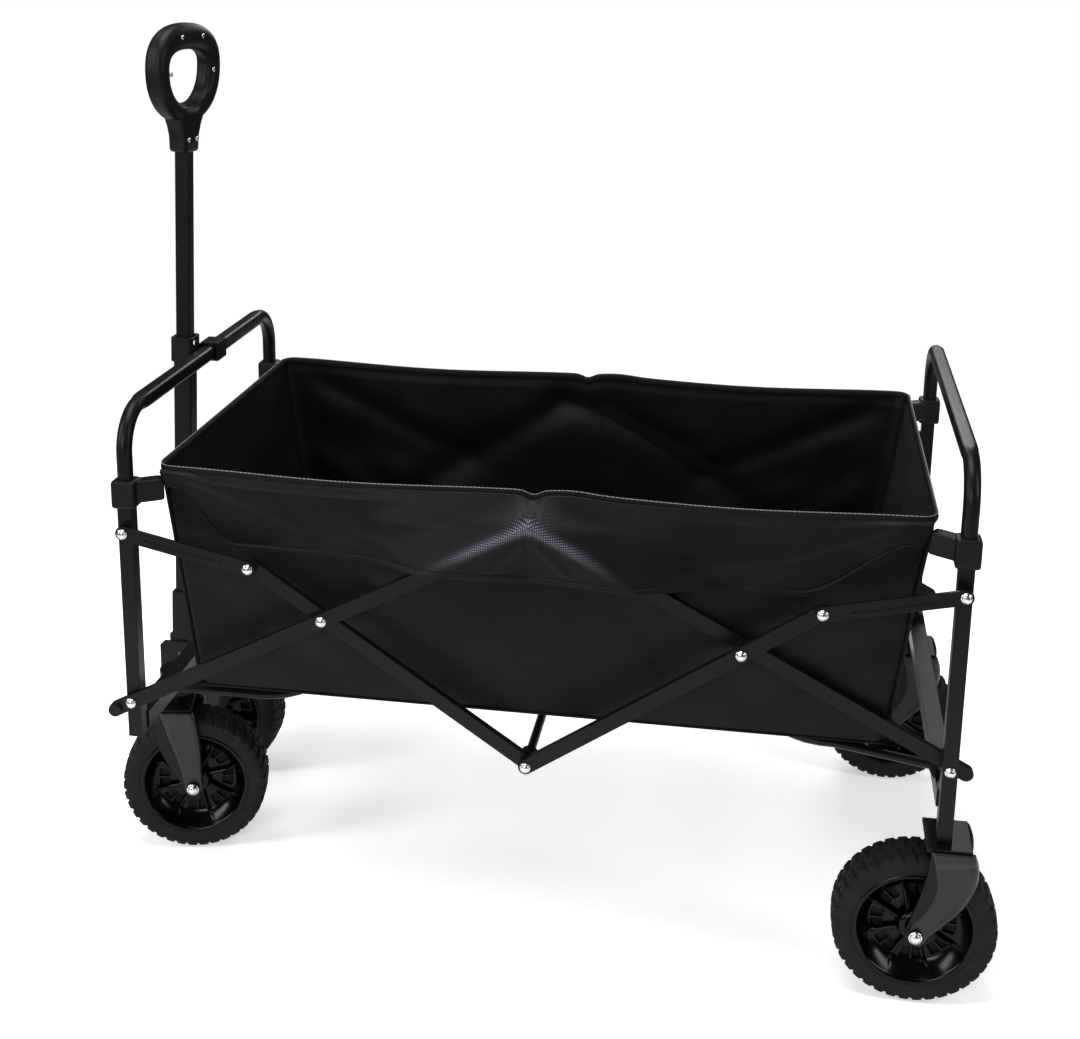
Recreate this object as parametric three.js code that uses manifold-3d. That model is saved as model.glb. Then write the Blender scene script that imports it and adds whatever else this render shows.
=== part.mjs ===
// Folding pull wagon: two rigid end frames joined by crossing side arms, a fabric
// bag hung between them, four block-tread wheels and a telescoping pull handle.
// Millimetres. +Z is up, -X is the pull end, -Y and +Y are the two long sides.

import * as THREE from 'three';
import { mergeVertices } from 'three/addons/utils/BufferGeometryUtils.js';
import Module from 'manifold-3d';

const wasm = await Module();
wasm.setup();

// ---- driving dimensions -------------------------------------------------------
const CENTRE_X = 28;            // moves the model so its bounding box is centred on X = 0
const GAP = 0.4;                // running gap between neighbouring pieces

const FRAME_X = 450;            // upright centre line, front (-) and rear (+)
const SIDE_Y = 247;             // upright centre line, each side
const TUBE = 16;                // square steel tube
const PIVOT_Z = 278;            // lower arm pivots on the uprights
const LINK_Z = 480.6;             // upper link pivots on the uprights
const CLAMP_Z = [508, 538];     // corner clamps
const BOW_Z = 613;              // centre line of the push bars
const BOW_BEND = 45;
const CROSS_TUBE = 20;
const CROSS_Z = { front: 246, rear: 238 };
const FRONT_FOOT_Z = 232;       // lower end of the front uprights
const REAR_FOOT_Z = 194.4;      // lower end of the rear uprights, on the fork plates

const ANGLE_A = 27.8;           // long arms, degrees above level
const ANGLE_B = 33.9;           // short arms, degrees below level
const ARM_A_LOW = 252;          // lower pivot to the crossing pivot
const ARM_B_TOP = 98;        // crossing pivot to the link pivot
const ARM_WIDTH = 16;
const ARM_THICK = 8;
const LINK_THICK = 4;
const STUD_OFFSET = 21;         // bumper stud past the lower pivot
const STUD_RADIUS = 7.5;
const PIN_RADIUS = 3;
const HOLE_RADIUS = 3.5;
const HEAD_RADIUS = 5.6;
const HEAD_HEIGHT = 2.4;

const WHEEL_RADIUS = 89;
const TYRE_HALF = 24;
const RIM_RADIUS = 65;
const AXLE_RADIUS = 6;
const FORK_INNER = 27;          // wheel plane to the inside of a fork leg
const FORK_SHEET = 4;
const FORK_TOP_Z = 190;
const REAR_WHEEL = { x: 426, y: 236 };
const REAR_FORK_X = 455;
const CASTER = { x: -464, y: 91, trail: 18 };
const CASTER_TURN = { near: 12.7, far: 180 };   // degrees, as parked
const HOUSING_Z = [205, 235.6];

const BAG_TOP = 546;
const BAG_BOTTOM = 286;
const BAG_TOP_X = 418;          // half length at the rim
const BAG_LOW_X = 385;          // half length at the floor
const BAG_Y = 225;
const CLOTH = 3;
const MAT = { x: [52, 378], y: 214, z: [289.6, 296.6] };
const FLAP_Y = [271, 273];
const FLAP_LOW_Z = 460;

const HOOP_RADIUS = 5;
const HOOP_ROOT_X = 434;
const HOOP_TIP_X = 262;
const HOOP_BEND = 60;
// the rear hoop is wider and higher, so it passes over the front one as the frames close
const HOOPS = {
  front: { end: -1, y: 200, rootZ: 268, tipZ: 268, tubeZ: CROSS_Z.front },
  rear: { end: 1, y: 214, rootZ: 263, tipZ: 279, tubeZ: CROSS_Z.rear },
};

const HANDLE_PIVOT = { x: -488, z: 213 };
const HANDLE_LEAN = 2;          // degrees from upright, resting at the front push bar
const OUTER_TUBE = { x: 22, y: 22, z: [24, 404] };
const INNER_TUBE = { x: 17.4, y: 17.4, z: [285, 664] };
const COLLAR = { x: 27, y: 30, z: [394, 424] };
const GRIP = { low: 656, neck: 684, top: 802, width: 146, turn: -13 };

// ---- mechanism, worked out from the dimensions --------------------------------
const rad = (degrees) => degrees * Math.PI / 180;
const crossX = -FRAME_X + ARM_A_LOW * Math.cos(rad(ANGLE_A));
const crossZ = PIVOT_Z + ARM_A_LOW * Math.sin(rad(ANGLE_A));
const topZ = crossZ - crossX * Math.tan(rad(ANGLE_A));
const lowZ = crossZ + crossX * Math.tan(rad(ANGLE_B));
const linkX = crossX - ARM_B_TOP * Math.cos(rad(ANGLE_B));
const linkPinZ = crossZ + ARM_B_TOP * Math.sin(rad(ANGLE_B));
const studX = -FRAME_X - STUD_OFFSET * Math.cos(rad(ANGLE_A));
const studZ = PIVOT_Z - STUD_OFFSET * Math.sin(rad(ANGLE_A));

// layers across the wagon, as distances from its middle plane
const UPRIGHT_IN = SIDE_Y - TUBE / 2;
const UPRIGHT_OUT = SIDE_Y + TUBE / 2;
const OUTER_ARM = [UPRIGHT_OUT + GAP, UPRIGHT_OUT + GAP + ARM_THICK];
const MIDDLE_ARM = [UPRIGHT_OUT - ARM_THICK, UPRIGHT_OUT];
const INNER_ARM = [UPRIGHT_IN - GAP - ARM_THICK, UPRIGHT_IN - GAP];
const FRONT_LINK = [UPRIGHT_OUT + 4.8, UPRIGHT_OUT + 4.8 + LINK_THICK];
const REAR_LINK = [OUTER_ARM[1] + GAP, OUTER_ARM[1] + GAP + LINK_THICK];

// ---- materials ----------------------------------------------------------------
const paint = (color, roughness, metalness) => ({ color, roughness, metalness });
const STEEL = paint(0x1d1e20, 0.45, 0.5);
const PLASTIC = paint(0x161718, 0.5, 0);
const CLOTH_BLACK = paint(0x1b1c1f, 0.8, 0);
const RUBBER = paint(0x2b2b2c, 0.85, 0);
const GLOSS = paint(0x0b0b0c, 0.2, 0);
const ZINC = paint(0xc9cacc, 0.25, 1);

// ---- geometry helpers ---------------------------------------------------------
function solid(geometry) {
  const bare = geometry.clone();
  bare.deleteAttribute('normal');
  bare.deleteAttribute('uv');
  const merged = mergeVertices(bare, 1e-4);
  return new wasm.Manifold(new wasm.Mesh({
    numProp: 3,
    vertProperties: new Float32Array(merged.attributes.position.array),
    triVerts: new Uint32Array(merged.index.array),
  }));
}

function surface(manifold) {
  const mesh = manifold.getMesh();
  const geometry = new THREE.BufferGeometry();
  geometry.setAttribute('position', new THREE.BufferAttribute(mesh.vertProperties, 3));
  geometry.setIndex(new THREE.BufferAttribute(mesh.triVerts, 1));
  geometry.computeVertexNormals();
  return geometry;
}

const join = (...parts) => surface(parts.map(solid).reduce((all, part) => all.add(part)));
const cut = (part, ...tools) => surface(
  tools.map(solid).reduce((rest, tool) => rest.subtract(tool), solid(part)));

function box(x0, x1, y0, y1, z0, z1) {
  const geometry = new THREE.BoxGeometry(x1 - x0, y1 - y0, z1 - z0);
  return geometry.translate((x0 + x1) / 2, (y0 + y1) / 2, (z0 + z1) / 2);
}

// a round bar across the wagon, from y0 to y1
function rod(radius, y0, y1, x, z, sides = 16, endRadius = radius) {
  const geometry = new THREE.CylinderGeometry(endRadius, radius, y1 - y0, sides);
  return geometry.translate(x, (y0 + y1) / 2, z);
}

// an outline drawn in X and Z, made solid from y0 to y1
function plateXZ(shape, y0, y1, curveSegments = 8) {
  const options = { depth: y1 - y0, bevelEnabled: false, curveSegments };
  return new THREE.ExtrudeGeometry(shape, options).rotateX(Math.PI / 2).translate(0, y1, 0);
}

// an outline drawn in X and Y, made solid from z0 to z1
function plateXY(shape, z0, z1, curveSegments = 8) {
  const options = { depth: z1 - z0, bevelEnabled: false, curveSegments };
  return new THREE.ExtrudeGeometry(shape, options).translate(0, 0, z0);
}

// an outline drawn in Y and Z, made solid from x0 to x1
function plateYZ(shape, x0, x1, curveSegments = 8) {
  const options = { depth: x1 - x0, bevelEnabled: false, curveSegments };
  const turn = new THREE.Matrix4().makeBasis(
    new THREE.Vector3(0, 1, 0), new THREE.Vector3(0, 0, 1), new THREE.Vector3(1, 0, 0));
  return new THREE.ExtrudeGeometry(shape, options).applyMatrix4(turn).translate(x0, 0, 0);
}

const polygon = (points) => new THREE.Shape(points.map(([u, v]) => new THREE.Vector2(u, v)));

function rectangle(halfU, halfV, chamfer = 0) {
  const c = chamfer;
  if (c === 0) return polygon([[-halfU, -halfV], [halfU, -halfV], [halfU, halfV], [-halfU, halfV]]);
  return polygon([
    [-halfU + c, -halfV], [halfU - c, -halfV], [halfU, -halfV + c], [halfU, halfV - c],
    [halfU - c, halfV], [-halfU + c, halfV], [-halfU, halfV - c], [-halfU, -halfV + c]]);
}

function hole(shape, u, v, radius) {
  shape.holes.push(new THREE.Path().absarc(u, v, radius, 0, 2 * Math.PI, true));
  return shape;
}

// a bar with round ends between two points
function barShape(u0, v0, u1, v1, halfWidth) {
  const angle = Math.atan2(v1 - v0, u1 - u0);
  const shape = new THREE.Shape();
  shape.absarc(u1, v1, halfWidth, angle - Math.PI / 2, angle + Math.PI / 2, false);
  shape.absarc(u0, v0, halfWidth, angle + Math.PI / 2, angle + 3 * Math.PI / 2, false);
  shape.closePath();
  return shape;
}

// a section swept along a path in `steps` stretches
function sweep(section, path, steps) {
  return new THREE.ExtrudeGeometry(section, { extrudePath: path, steps, curveSegments: 4 });
}

function circleShape(radius, sides) {
  const points = [];
  for (let i = 0; i < sides; i += 1) {
    const turn = 2 * Math.PI * (i + 0.5) / sides;
    points.push([radius * Math.cos(turn), radius * Math.sin(turn)]);
  }
  return polygon(points);
}

// a closed profile of [radius, height] points turned about the Y axis
function turned(profile, segments) {
  const loop = [...profile, profile[0]].map(([r, y]) => new THREE.Vector2(r, y));
  return new THREE.LatheGeometry(loop, segments);
}

// straight stretches between corners, joined by bends of the given radii
function bentPath(corners, radii) {
  const path = new THREE.CurvePath();
  const points = corners.map((corner) => new THREE.Vector3(...corner));
  let start = points[0];
  for (let i = 1; i < points.length - 1; i += 1) {
    const radius = radii[i - 1];
    const before = points[i - 1].clone().sub(points[i]).normalize();
    const after = points[i + 1].clone().sub(points[i]).normalize();
    const arcStart = points[i].clone().addScaledVector(before, radius);
    const arcEnd = points[i].clone().addScaledVector(after, radius);
    const bow = 0.5523 * radius;
    path.add(new THREE.LineCurve3(start, arcStart));
    path.add(new THREE.CubicBezierCurve3(arcStart,
      arcStart.clone().addScaledVector(before, -bow),
      arcEnd.clone().addScaledVector(after, -bow), arcEnd));
    start = arcEnd;
  }
  path.add(new THREE.LineCurve3(start, points[points.length - 1]));
  return path;
}

// ---- scene helpers ------------------------------------------------------------
const wagon = new THREE.Group();
wagon.position.x = CENTRE_X;
const mirrored = { near: -1, far: 1 };      // -Y side and +Y side

function add(name, geometry, look, parent = wagon) {
  const mesh = new THREE.Mesh(geometry, new THREE.MeshStandardMaterial(look));
  mesh.name = name;
  parent.add(mesh);
  return mesh;
}

// [low, high] of a layer given as distances from the middle plane, on one side
const layer = ([inner, outer], side) => (side < 0 ? [-outer, -inner] : [inner, outer]);

// a rivet: domed head outside, shank inwards to `depth`
function rivet(x, z, face, depth, side) {
  const [low, high] = layer([face, face + HEAD_HEIGHT], side);
  const [pinLow, pinHigh] = layer([depth, face + HEAD_HEIGHT / 2], side);
  const head = new THREE.CylinderGeometry(
    side > 0 ? 0.6 * HEAD_RADIUS : HEAD_RADIUS,
    side > 0 ? HEAD_RADIUS : 0.6 * HEAD_RADIUS, high - low, 12);
  head.translate(x, (low + high) / 2, z);
  return [head, rod(PIN_RADIUS, pinLow, pinHigh, x, z, 12)];
}

// ---- end frames ---------------------------------------------------------------
function uprightGeometry(x, side, footZ, pivotHole, insideRivet) {
  const half = TUBE / 2;
  const upright = box(x - half, x + half, side * SIDE_Y - half, side * SIDE_Y + half,
    footZ, CLAMP_Z[0] + 14);
  const pins = pivotHole.map(([pinX, pinZ]) => rod(HOLE_RADIUS, side * SIDE_Y - TUBE,
    side * SIDE_Y + TUBE, pinX, pinZ, 12));
  const drilled = pins.length ? cut(upright, ...pins) : upright;
  if (!insideRivet) return drilled;
  return join(drilled, ...rivet(...insideRivet, side));
}

function bowGeometry(x) {
  const low = CLAMP_Z[0] + 14 + GAP;
  const path = bentPath([[x, -SIDE_Y, low], [x, -SIDE_Y, BOW_Z], [x, SIDE_Y, BOW_Z],
    [x, SIDE_Y, low]], [BOW_BEND, BOW_BEND]);
  return sweep(rectangle(TUBE / 2, TUBE / 2, 3), path, 60);
}

function clampGeometry(end, side) {
  const inward = -end;                       // towards the middle of the wagon
  const points = [[-12, -12], [22, -12], [31, -5], [31, 19], [23, 19], [14, 8],
    [12, 12], [-12, 12]].map(([u, v]) => [end * FRAME_X + inward * u, side * (SIDE_Y - v)]);
  const shape = polygon(points);
  const half = TUBE / 2 + GAP;
  const tubeHole = [[-half, -half], [half, -half], [half, half], [-half, half]].map(
    ([u, v]) => new THREE.Vector2(end * FRAME_X + u, side * SIDE_Y + v));
  shape.holes.push(new THREE.Path(tubeHole));
  return plateXY(shape, ...CLAMP_Z);
}

function crossTubeGeometry({ end, y, rootZ, tubeZ }) {
  const half = CROSS_TUBE / 2;
  const length = UPRIGHT_IN - GAP;
  const x = end * FRAME_X;
  const parts = [box(x - half, x + half, -length, length, tubeZ - half, tubeZ + half)];
  for (const side of [-1, 1]) {
    const lugY = side * (y - HOOP_RADIUS - GAP - 1.5);
    const lug = barShape(x - end * 3, tubeZ + 3, end * HOOP_ROOT_X, rootZ, 5);
    parts.push(plateXZ(lug, lugY - 1.5, lugY + 1.5));
  }
  return join(...parts);
}

// ---- under-floor hoops --------------------------------------------------------
function hoopGeometry({ end, y, rootZ, tipZ }) {
  const kneeX = end * (HOOP_ROOT_X - 104);
  const path = bentPath([[end * HOOP_ROOT_X, -y, rootZ], [kneeX, -y, tipZ],
    [end * HOOP_TIP_X, -y, tipZ], [end * HOOP_TIP_X, y, tipZ],
    [kneeX, y, tipZ], [end * HOOP_ROOT_X, y, rootZ]], [4, HOOP_BEND, HOOP_BEND, 4]);
  return sweep(circleShape(HOOP_RADIUS, 8), path, 48);
}

// ---- side arms and links ------------------------------------------------------
function longArmOuter(side) {
  const [low, high] = layer(OUTER_ARM, side);
  const shape = barShape(studX, studZ, 0, topZ, ARM_WIDTH / 2);
  const [studLow, studHigh] = layer([OUTER_ARM[0] + 2, OUTER_ARM[1] + 3], side);
  return join(plateXZ(shape, low, high),
    rod(STUD_RADIUS, studLow, studHigh, studX, studZ, 20),
    ...rivet(-FRAME_X, PIVOT_Z, OUTER_ARM[1], UPRIGHT_IN, side),
    ...rivet(crossX, crossZ, OUTER_ARM[1], MIDDLE_ARM[0], side),
    ...rivet(0, topZ, OUTER_ARM[1] - HEAD_HEIGHT / 2, INNER_ARM[0], side),
    rod(STUD_RADIUS - 0.5, ...layer([INNER_ARM[1] + GAP, OUTER_ARM[0] + 2], side), 0, topZ, 16));
}

function shortArmMiddle(side) {
  const shape = barShape(linkX, linkPinZ, 0, lowZ, ARM_WIDTH / 2);
  hole(shape, crossX, crossZ, HOLE_RADIUS);
  return plateXZ(shape, ...layer(MIDDLE_ARM, side), 6);
}

function shortArmOuter(side) {
  const shape = barShape(0, lowZ, -linkX, linkPinZ, ARM_WIDTH / 2);
  return join(plateXZ(shape, ...layer(OUTER_ARM, side)),
    ...rivet(0, lowZ, OUTER_ARM[1], OUTER_ARM[0] + 1, side),
    ...rivet(-crossX, crossZ, OUTER_ARM[1], INNER_ARM[0], side),
    rod(STUD_RADIUS - 0.5, ...layer([INNER_ARM[1] + GAP, OUTER_ARM[0] + 2], side),
      -crossX, crossZ, 16));
}

function longArmInner(side) {
  const shape = barShape(0, topZ, -studX, studZ, ARM_WIDTH / 2);
  hole(shape, 0, topZ, HOLE_RADIUS);
  hole(shape, -crossX, crossZ, HOLE_RADIUS);
  hole(shape, FRAME_X, PIVOT_Z, HOLE_RADIUS);
  return plateXZ(shape, ...layer(INNER_ARM, side), 6);
}

function linkGeometry(end, side) {
  const faces = end < 0 ? FRONT_LINK : REAR_LINK;
  const shape = barShape(end * FRAME_X, LINK_Z, end * -linkX, linkPinZ, ARM_WIDTH / 2);
  const boss = layer([UPRIGHT_OUT + GAP, faces[0] + 1], side);
  const parts = [plateXZ(shape, ...layer(faces, side)),
    ...rivet(end * FRAME_X, LINK_Z, faces[1], end < 0 ? UPRIGHT_IN : faces[0] + 1, side),
    ...rivet(end * -linkX, linkPinZ, faces[1], faces[0] + 1, side),
    rod(ARM_WIDTH / 2 - 1, ...boss, end * FRAME_X, LINK_Z, 16)];
  if (end < 0) parts.push(rod(ARM_WIDTH / 2 - 1, ...boss, linkX, linkPinZ, 16));
  const along = (share) => [end * (FRAME_X + share * (-linkX - FRAME_X)),
    LINK_Z + share * (linkPinZ - LINK_Z)];
  const groove = barShape(...along(0.2), ...along(0.78), 2.6);
  const grooveDepth = layer([faces[1] - 1.2, faces[1] + 1], side);
  return cut(join(...parts), plateXZ(groove, ...grooveDepth, 5));
}

// ---- wheels and forks ---------------------------------------------------------
function tyreGeometry() {
  const side = TYRE_HALF;
  const r = WHEEL_RADIUS;
  return turned([[RIM_RADIUS + 0.2, -side + 3], [RIM_RADIUS + 4, -side], [r - 7, -side],
    [r - 1.5, -side + 5], [r, 0], [r - 1.5, side - 5], [r - 7, side],
    [RIM_RADIUS + 4, side], [RIM_RADIUS + 0.2, side - 3]], 40);
}

function rimGeometry() {
  const hub = AXLE_RADIUS + GAP;
  const lip = RIM_RADIUS - 0.2;
  return turned([[hub, -24], [15, -24], [17, -7], [50, -4], [57, -20], [lip, -21],
    [lip, 21], [57, 20], [50, 4], [17, 7], [15, 24], [hub, 24]], 32);
}

// one fork leg: wide under the top plate, swept to the axle eye
function forkLegShape(trail) {
  const shape = new THREE.Shape();
  const drop = FORK_TOP_Z + FORK_SHEET - WHEEL_RADIUS;
  const way = Math.sign(trail);
  shape.moveTo(-18, drop);
  shape.lineTo(18, drop);
  if (way > 0) {
    shape.bezierCurveTo(17, drop - 30, trail + 8, 45, trail + 11, 0);
    shape.absarc(trail, 0, 11, 0, -Math.PI, true);
    shape.bezierCurveTo(trail - 18, 14, -26, 45, -27, drop - 22);
  } else {
    shape.bezierCurveTo(22, drop - 40, 8, 36, trail + 11, 0);
    shape.absarc(trail, 0, 11, 0, -Math.PI, true);
    shape.bezierCurveTo(trail - 4, 30, -20, drop - 50, -18, drop);
  }
  shape.closePath();
  return shape;
}

function forkGeometry(trail, plateHalf, postTop) {
  const outer = FORK_INNER + FORK_SHEET;
  const leg = forkLegShape(trail);
  const parts = [
    box(-plateHalf, plateHalf, -outer, outer, FORK_TOP_Z, FORK_TOP_Z + FORK_SHEET),
    plateXZ(leg, -outer, -FORK_INNER, 6).translate(0, 0, WHEEL_RADIUS),
    plateXZ(leg, FORK_INNER, outer, 6).translate(0, 0, WHEEL_RADIUS),
    rod(AXLE_RADIUS, -outer - 1, outer + 1, trail, WHEEL_RADIUS, 20),
    rod(7.5, -outer - 5, -outer + 1, trail, WHEEL_RADIUS, 20, 7.5),
    rod(7.5, outer - 1, outer + 5, trail, WHEEL_RADIUS, 20, 7.5)];
  if (postTop) {
    const post = new THREE.CylinderGeometry(8, 8, postTop - FORK_TOP_Z, 20).rotateX(Math.PI / 2);
    parts.push(post.translate(0, 0, (postTop + FORK_TOP_Z) / 2));
  }
  return join(...parts);
}

function housingGeometry() {
  const [low, high] = HOUSING_Z;
  return turned([[8.5, low], [17, low], [18, high - 10], [22, high - 8], [22, high], [8.5, high]],
    28).rotateX(Math.PI / 2);
}

// ---- bag ----------------------------------------------------------------------
function tubGeometry() {
  const inner = BAG_Y - CLOTH;
  const section = polygon([[-BAG_Y, BAG_BOTTOM], [BAG_Y, BAG_BOTTOM], [BAG_Y, BAG_TOP],
    [inner, BAG_TOP], [inner, BAG_BOTTOM + CLOTH], [-inner, BAG_BOTTOM + CLOTH],
    [-inner, BAG_TOP], [-BAG_Y, BAG_TOP]]);
  const block = plateYZ(section, -BAG_TOP_X, BAG_TOP_X);
  const gap = CLOTH + GAP;
  const keep = polygon([[-BAG_LOW_X + gap, BAG_BOTTOM - 1], [BAG_LOW_X - gap, BAG_BOTTOM - 1],
    [BAG_TOP_X - gap, BAG_TOP + 1], [-BAG_TOP_X + gap, BAG_TOP + 1]]);
  return surface(solid(block).intersect(solid(plateXZ(keep, -BAG_Y - 1, BAG_Y + 1))));
}

function endPanelGeometry(end) {
  const shape = polygon([[end * BAG_LOW_X, BAG_BOTTOM], [end * BAG_TOP_X, BAG_TOP],
    [end * (BAG_TOP_X - CLOTH), BAG_TOP], [end * (BAG_LOW_X - CLOTH), BAG_BOTTOM]]);
  return plateXZ(shape, -BAG_Y, BAG_Y);
}

function flapGeometry(end, side) {
  const shape = polygon([[end * 1, BAG_TOP - 8], [end * (BAG_TOP_X - 6), BAG_TOP - 6],
    [end * (BAG_TOP_X - 8), BAG_TOP - 20], [end * 338, FLAP_LOW_Z + 6], [end * 1, FLAP_LOW_Z]]);
  return plateXZ(shape, ...layer(FLAP_Y, side));
}

// ---- pull handle --------------------------------------------------------------
function bracketGeometry() {
  const back = -FRAME_X - CROSS_TUBE / 2 - GAP;
  const flange = polygon([[-517, 192], [-507, 189], [back, 189], [back, 256], [back - 8, 256],
    [-480, 234], [-511, 234], [-517, 228]]);
  hole(flange, HANDLE_PIVOT.x, HANDLE_PIVOT.z, 4.5);
  return join(plateXZ(flange, -18, -15), plateXZ(flange, 15, 18),
    box(back - 3, back, -18, 18, 189, 256), box(-507, back, -18, 18, 189, 192));
}

function pivotBoltGeometry() {
  const { x, z } = HANDLE_PIVOT;
  return join(rod(4, -20, 20, x, z, 16), rod(5, -23.5, -18.4, x, z, 20, 7.5),
    rod(7.5, 18.4, 23.5, x, z, 6));
}

function footGeometry() {
  const shape = new THREE.Shape();
  shape.absarc(0, 0, 12, Math.PI, 0, false);
  shape.lineTo(14, 30);
  shape.lineTo(14, 88);
  shape.lineTo(-14, 88);
  shape.lineTo(-14, 30);
  shape.closePath();
  hole(shape, 0, 0, 4.5);
  const x = OUTER_TUBE.x / 2 + 0.3;
  const y = OUTER_TUBE.y / 2 + 0.3;
  const socket = box(-x, x, -y, y, OUTER_TUBE.z[0] - GAP, 110);
  return cut(plateXZ(shape, -14.6, 14.6), socket);
}

function rectTube(size, wall, z) {
  const shape = rectangle(size.x / 2, size.y / 2, 1.2);
  const inside = rectangle(size.x / 2 - wall, size.y / 2 - wall).getPoints();
  shape.holes.push(new THREE.Path(inside));
  return plateXY(shape, ...z);
}

function collarGeometry() {
  const outer = plateXY(rectangle(COLLAR.x / 2, COLLAR.y / 2, 3), ...COLLAR.z);
  const half = OUTER_TUBE.x / 2 + 0.3;
  const lower = box(-half, half, -half, half, COLLAR.z[0] - 1, OUTER_TUBE.z[1] + GAP);
  const upper = box(-9.7, 9.7, -9.7, 9.7, COLLAR.z[0] - 1, COLLAR.z[1] + 1);
  const buttonHole = new THREE.CylinderGeometry(4.4, 4.4, 8, 16).rotateZ(Math.PI / 2)
    .translate(12.5, -5, COLLAR.z[1] - 7);
  return cut(outer, lower, upper, buttonHole);
}

function buttonGeometry() {
  return new THREE.CylinderGeometry(3.4, 4, 3.2, 16).rotateZ(-Math.PI / 2)
    .translate(13.2, -5, COLLAR.z[1] - 7);
}

// grip: a closed loop of oval section, with a neck socket for the tube
class GripLoop extends THREE.Curve {
  getPoint(t, target = new THREE.Vector3()) {
    const a = 2 * Math.PI * t - Math.PI / 2;
    const halfWidth = GRIP.width / 2 - 13;
    const halfHeight = (GRIP.top - GRIP.neck) / 2 - 12;
    const middle = (GRIP.top + GRIP.neck) / 2;
    const soften = (value) => Math.sign(value) * Math.abs(value) ** 0.8;
    const squeeze = 1 - 0.12 * (1 - Math.sin(a)) / 2;
    return target.set(0, squeeze * halfWidth * soften(Math.cos(a)),
      middle + halfHeight * soften(Math.sin(a)));
  }
}

function gripGeometry() {
  const steps = 40;
  const sides = 10;
  const loop = new GripLoop();
  const positions = [];
  const faces = [];
  for (let i = 0; i < steps; i += 1) {
    const centre = loop.getPoint(i / steps);
    const tangent = loop.getPoint(((i + 1) % steps) / steps)
      .sub(loop.getPoint(((i + steps - 1) % steps) / steps)).normalize();
    const across = new THREE.Vector3(1, 0, 0);
    const outward = new THREE.Vector3().crossVectors(tangent, across);
    for (let j = 0; j < sides; j += 1) {
      const turn = 2 * Math.PI * j / sides;
      const point = centre.clone().addScaledVector(across, 15 * Math.cos(turn))
        .addScaledVector(outward, 12.5 * Math.sin(turn));
      positions.push(point.x, point.y, point.z);
      const a = i * sides + j;
      const b = i * sides + (j + 1) % sides;
      const c = ((i + 1) % steps) * sides + j;
      const d = ((i + 1) % steps) * sides + (j + 1) % sides;
      faces.push(a, b, c, b, d, c);
    }
  }
  const ring = new THREE.BufferGeometry();
  ring.setAttribute('position', new THREE.Float32BufferAttribute(positions, 3));
  ring.setIndex(faces);
  ring.computeVertexNormals();
  const neck = plateXY(rectangle(13, 17, 4), GRIP.low, GRIP.neck + 14);
  const socket = box(-9.9, 9.9, -9.9, 9.9, GRIP.low - 1, INNER_TUBE.z[1] + GAP);
  return cut(join(ring, neck).rotateZ(rad(GRIP.turn)), socket);
}

function bowClipGeometry() {
  const z = BOW_Z;
  const body = box(-FRAME_X - 10.6, -FRAME_X + 11.5, 17, 47, z - 11.5, z + 11.5);
  const jaw = box(-482, -FRAME_X - 8, 15.8, 19, z - 10, z + 10);
  const barHole = box(-FRAME_X - 8.5, -FRAME_X + 8.5, 10, 60, z - 8.5, z + 8.5);
  return cut(join(body, jaw), barHole);
}

// ---- assembly -----------------------------------------------------------------
for (const [sideName, side] of Object.entries(mirrored)) {
  add(`front_upright_${sideName}`, uprightGeometry(-FRAME_X, side, FRONT_FOOT_Z,
    [[-FRAME_X, PIVOT_Z], [-FRAME_X, LINK_Z]], null), STEEL);
  add(`rear_upright_${sideName}`, uprightGeometry(FRAME_X, side, REAR_FOOT_Z, [],
    [FRAME_X, PIVOT_Z, UPRIGHT_OUT, INNER_ARM[0]]), STEEL);
  add(`front_clamp_${sideName}`, clampGeometry(-1, side), PLASTIC);
  add(`rear_clamp_${sideName}`, clampGeometry(1, side), PLASTIC);
  add(`arm_a_${sideName}`, longArmOuter(side), STEEL);
  add(`arm_b_${sideName}`, shortArmMiddle(side), STEEL);
  add(`arm_c_${sideName}`, shortArmOuter(side), STEEL);
  add(`arm_d_${sideName}`, longArmInner(side), STEEL);
  add(`front_link_${sideName}`, linkGeometry(-1, side), STEEL);
  add(`rear_link_${sideName}`, linkGeometry(1, side), STEEL);
  add(`front_flap_${sideName}`, flapGeometry(-1, side), CLOTH_BLACK);
  add(`rear_flap_${sideName}`, flapGeometry(1, side), CLOTH_BLACK);

  const rearFork = new THREE.Group();
  rearFork.position.set(REAR_FORK_X, side * REAR_WHEEL.y, 0);
  const rearTrail = REAR_WHEEL.x - REAR_FORK_X;
  add(`rear_fork_${sideName}`, forkGeometry(rearTrail, 24, 0), STEEL, rearFork);
  add(`rear_tyre_${sideName}`, tyreGeometry(), RUBBER, rearFork)
    .position.set(rearTrail, 0, WHEEL_RADIUS);
  add(`rear_rim_${sideName}`, rimGeometry(), GLOSS, rearFork)
    .position.set(rearTrail, 0, WHEEL_RADIUS);
  wagon.add(rearFork);

  const caster = new THREE.Group();
  caster.position.set(CASTER.x, side * CASTER.y, 0);
  add(`caster_housing_${sideName}`, housingGeometry(), STEEL, caster);
  const turning = new THREE.Group();
  turning.rotation.z = rad(CASTER_TURN[sideName]);
  add(`front_fork_${sideName}`, forkGeometry(CASTER.trail, 18, HOUSING_Z[1] - 3), STEEL, turning);
  add(`front_tyre_${sideName}`, tyreGeometry(), RUBBER, turning)
    .position.set(CASTER.trail, 0, WHEEL_RADIUS);
  add(`front_rim_${sideName}`, rimGeometry(), GLOSS, turning)
    .position.set(CASTER.trail, 0, WHEEL_RADIUS);
  caster.add(turning);
  wagon.add(caster);
}

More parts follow.
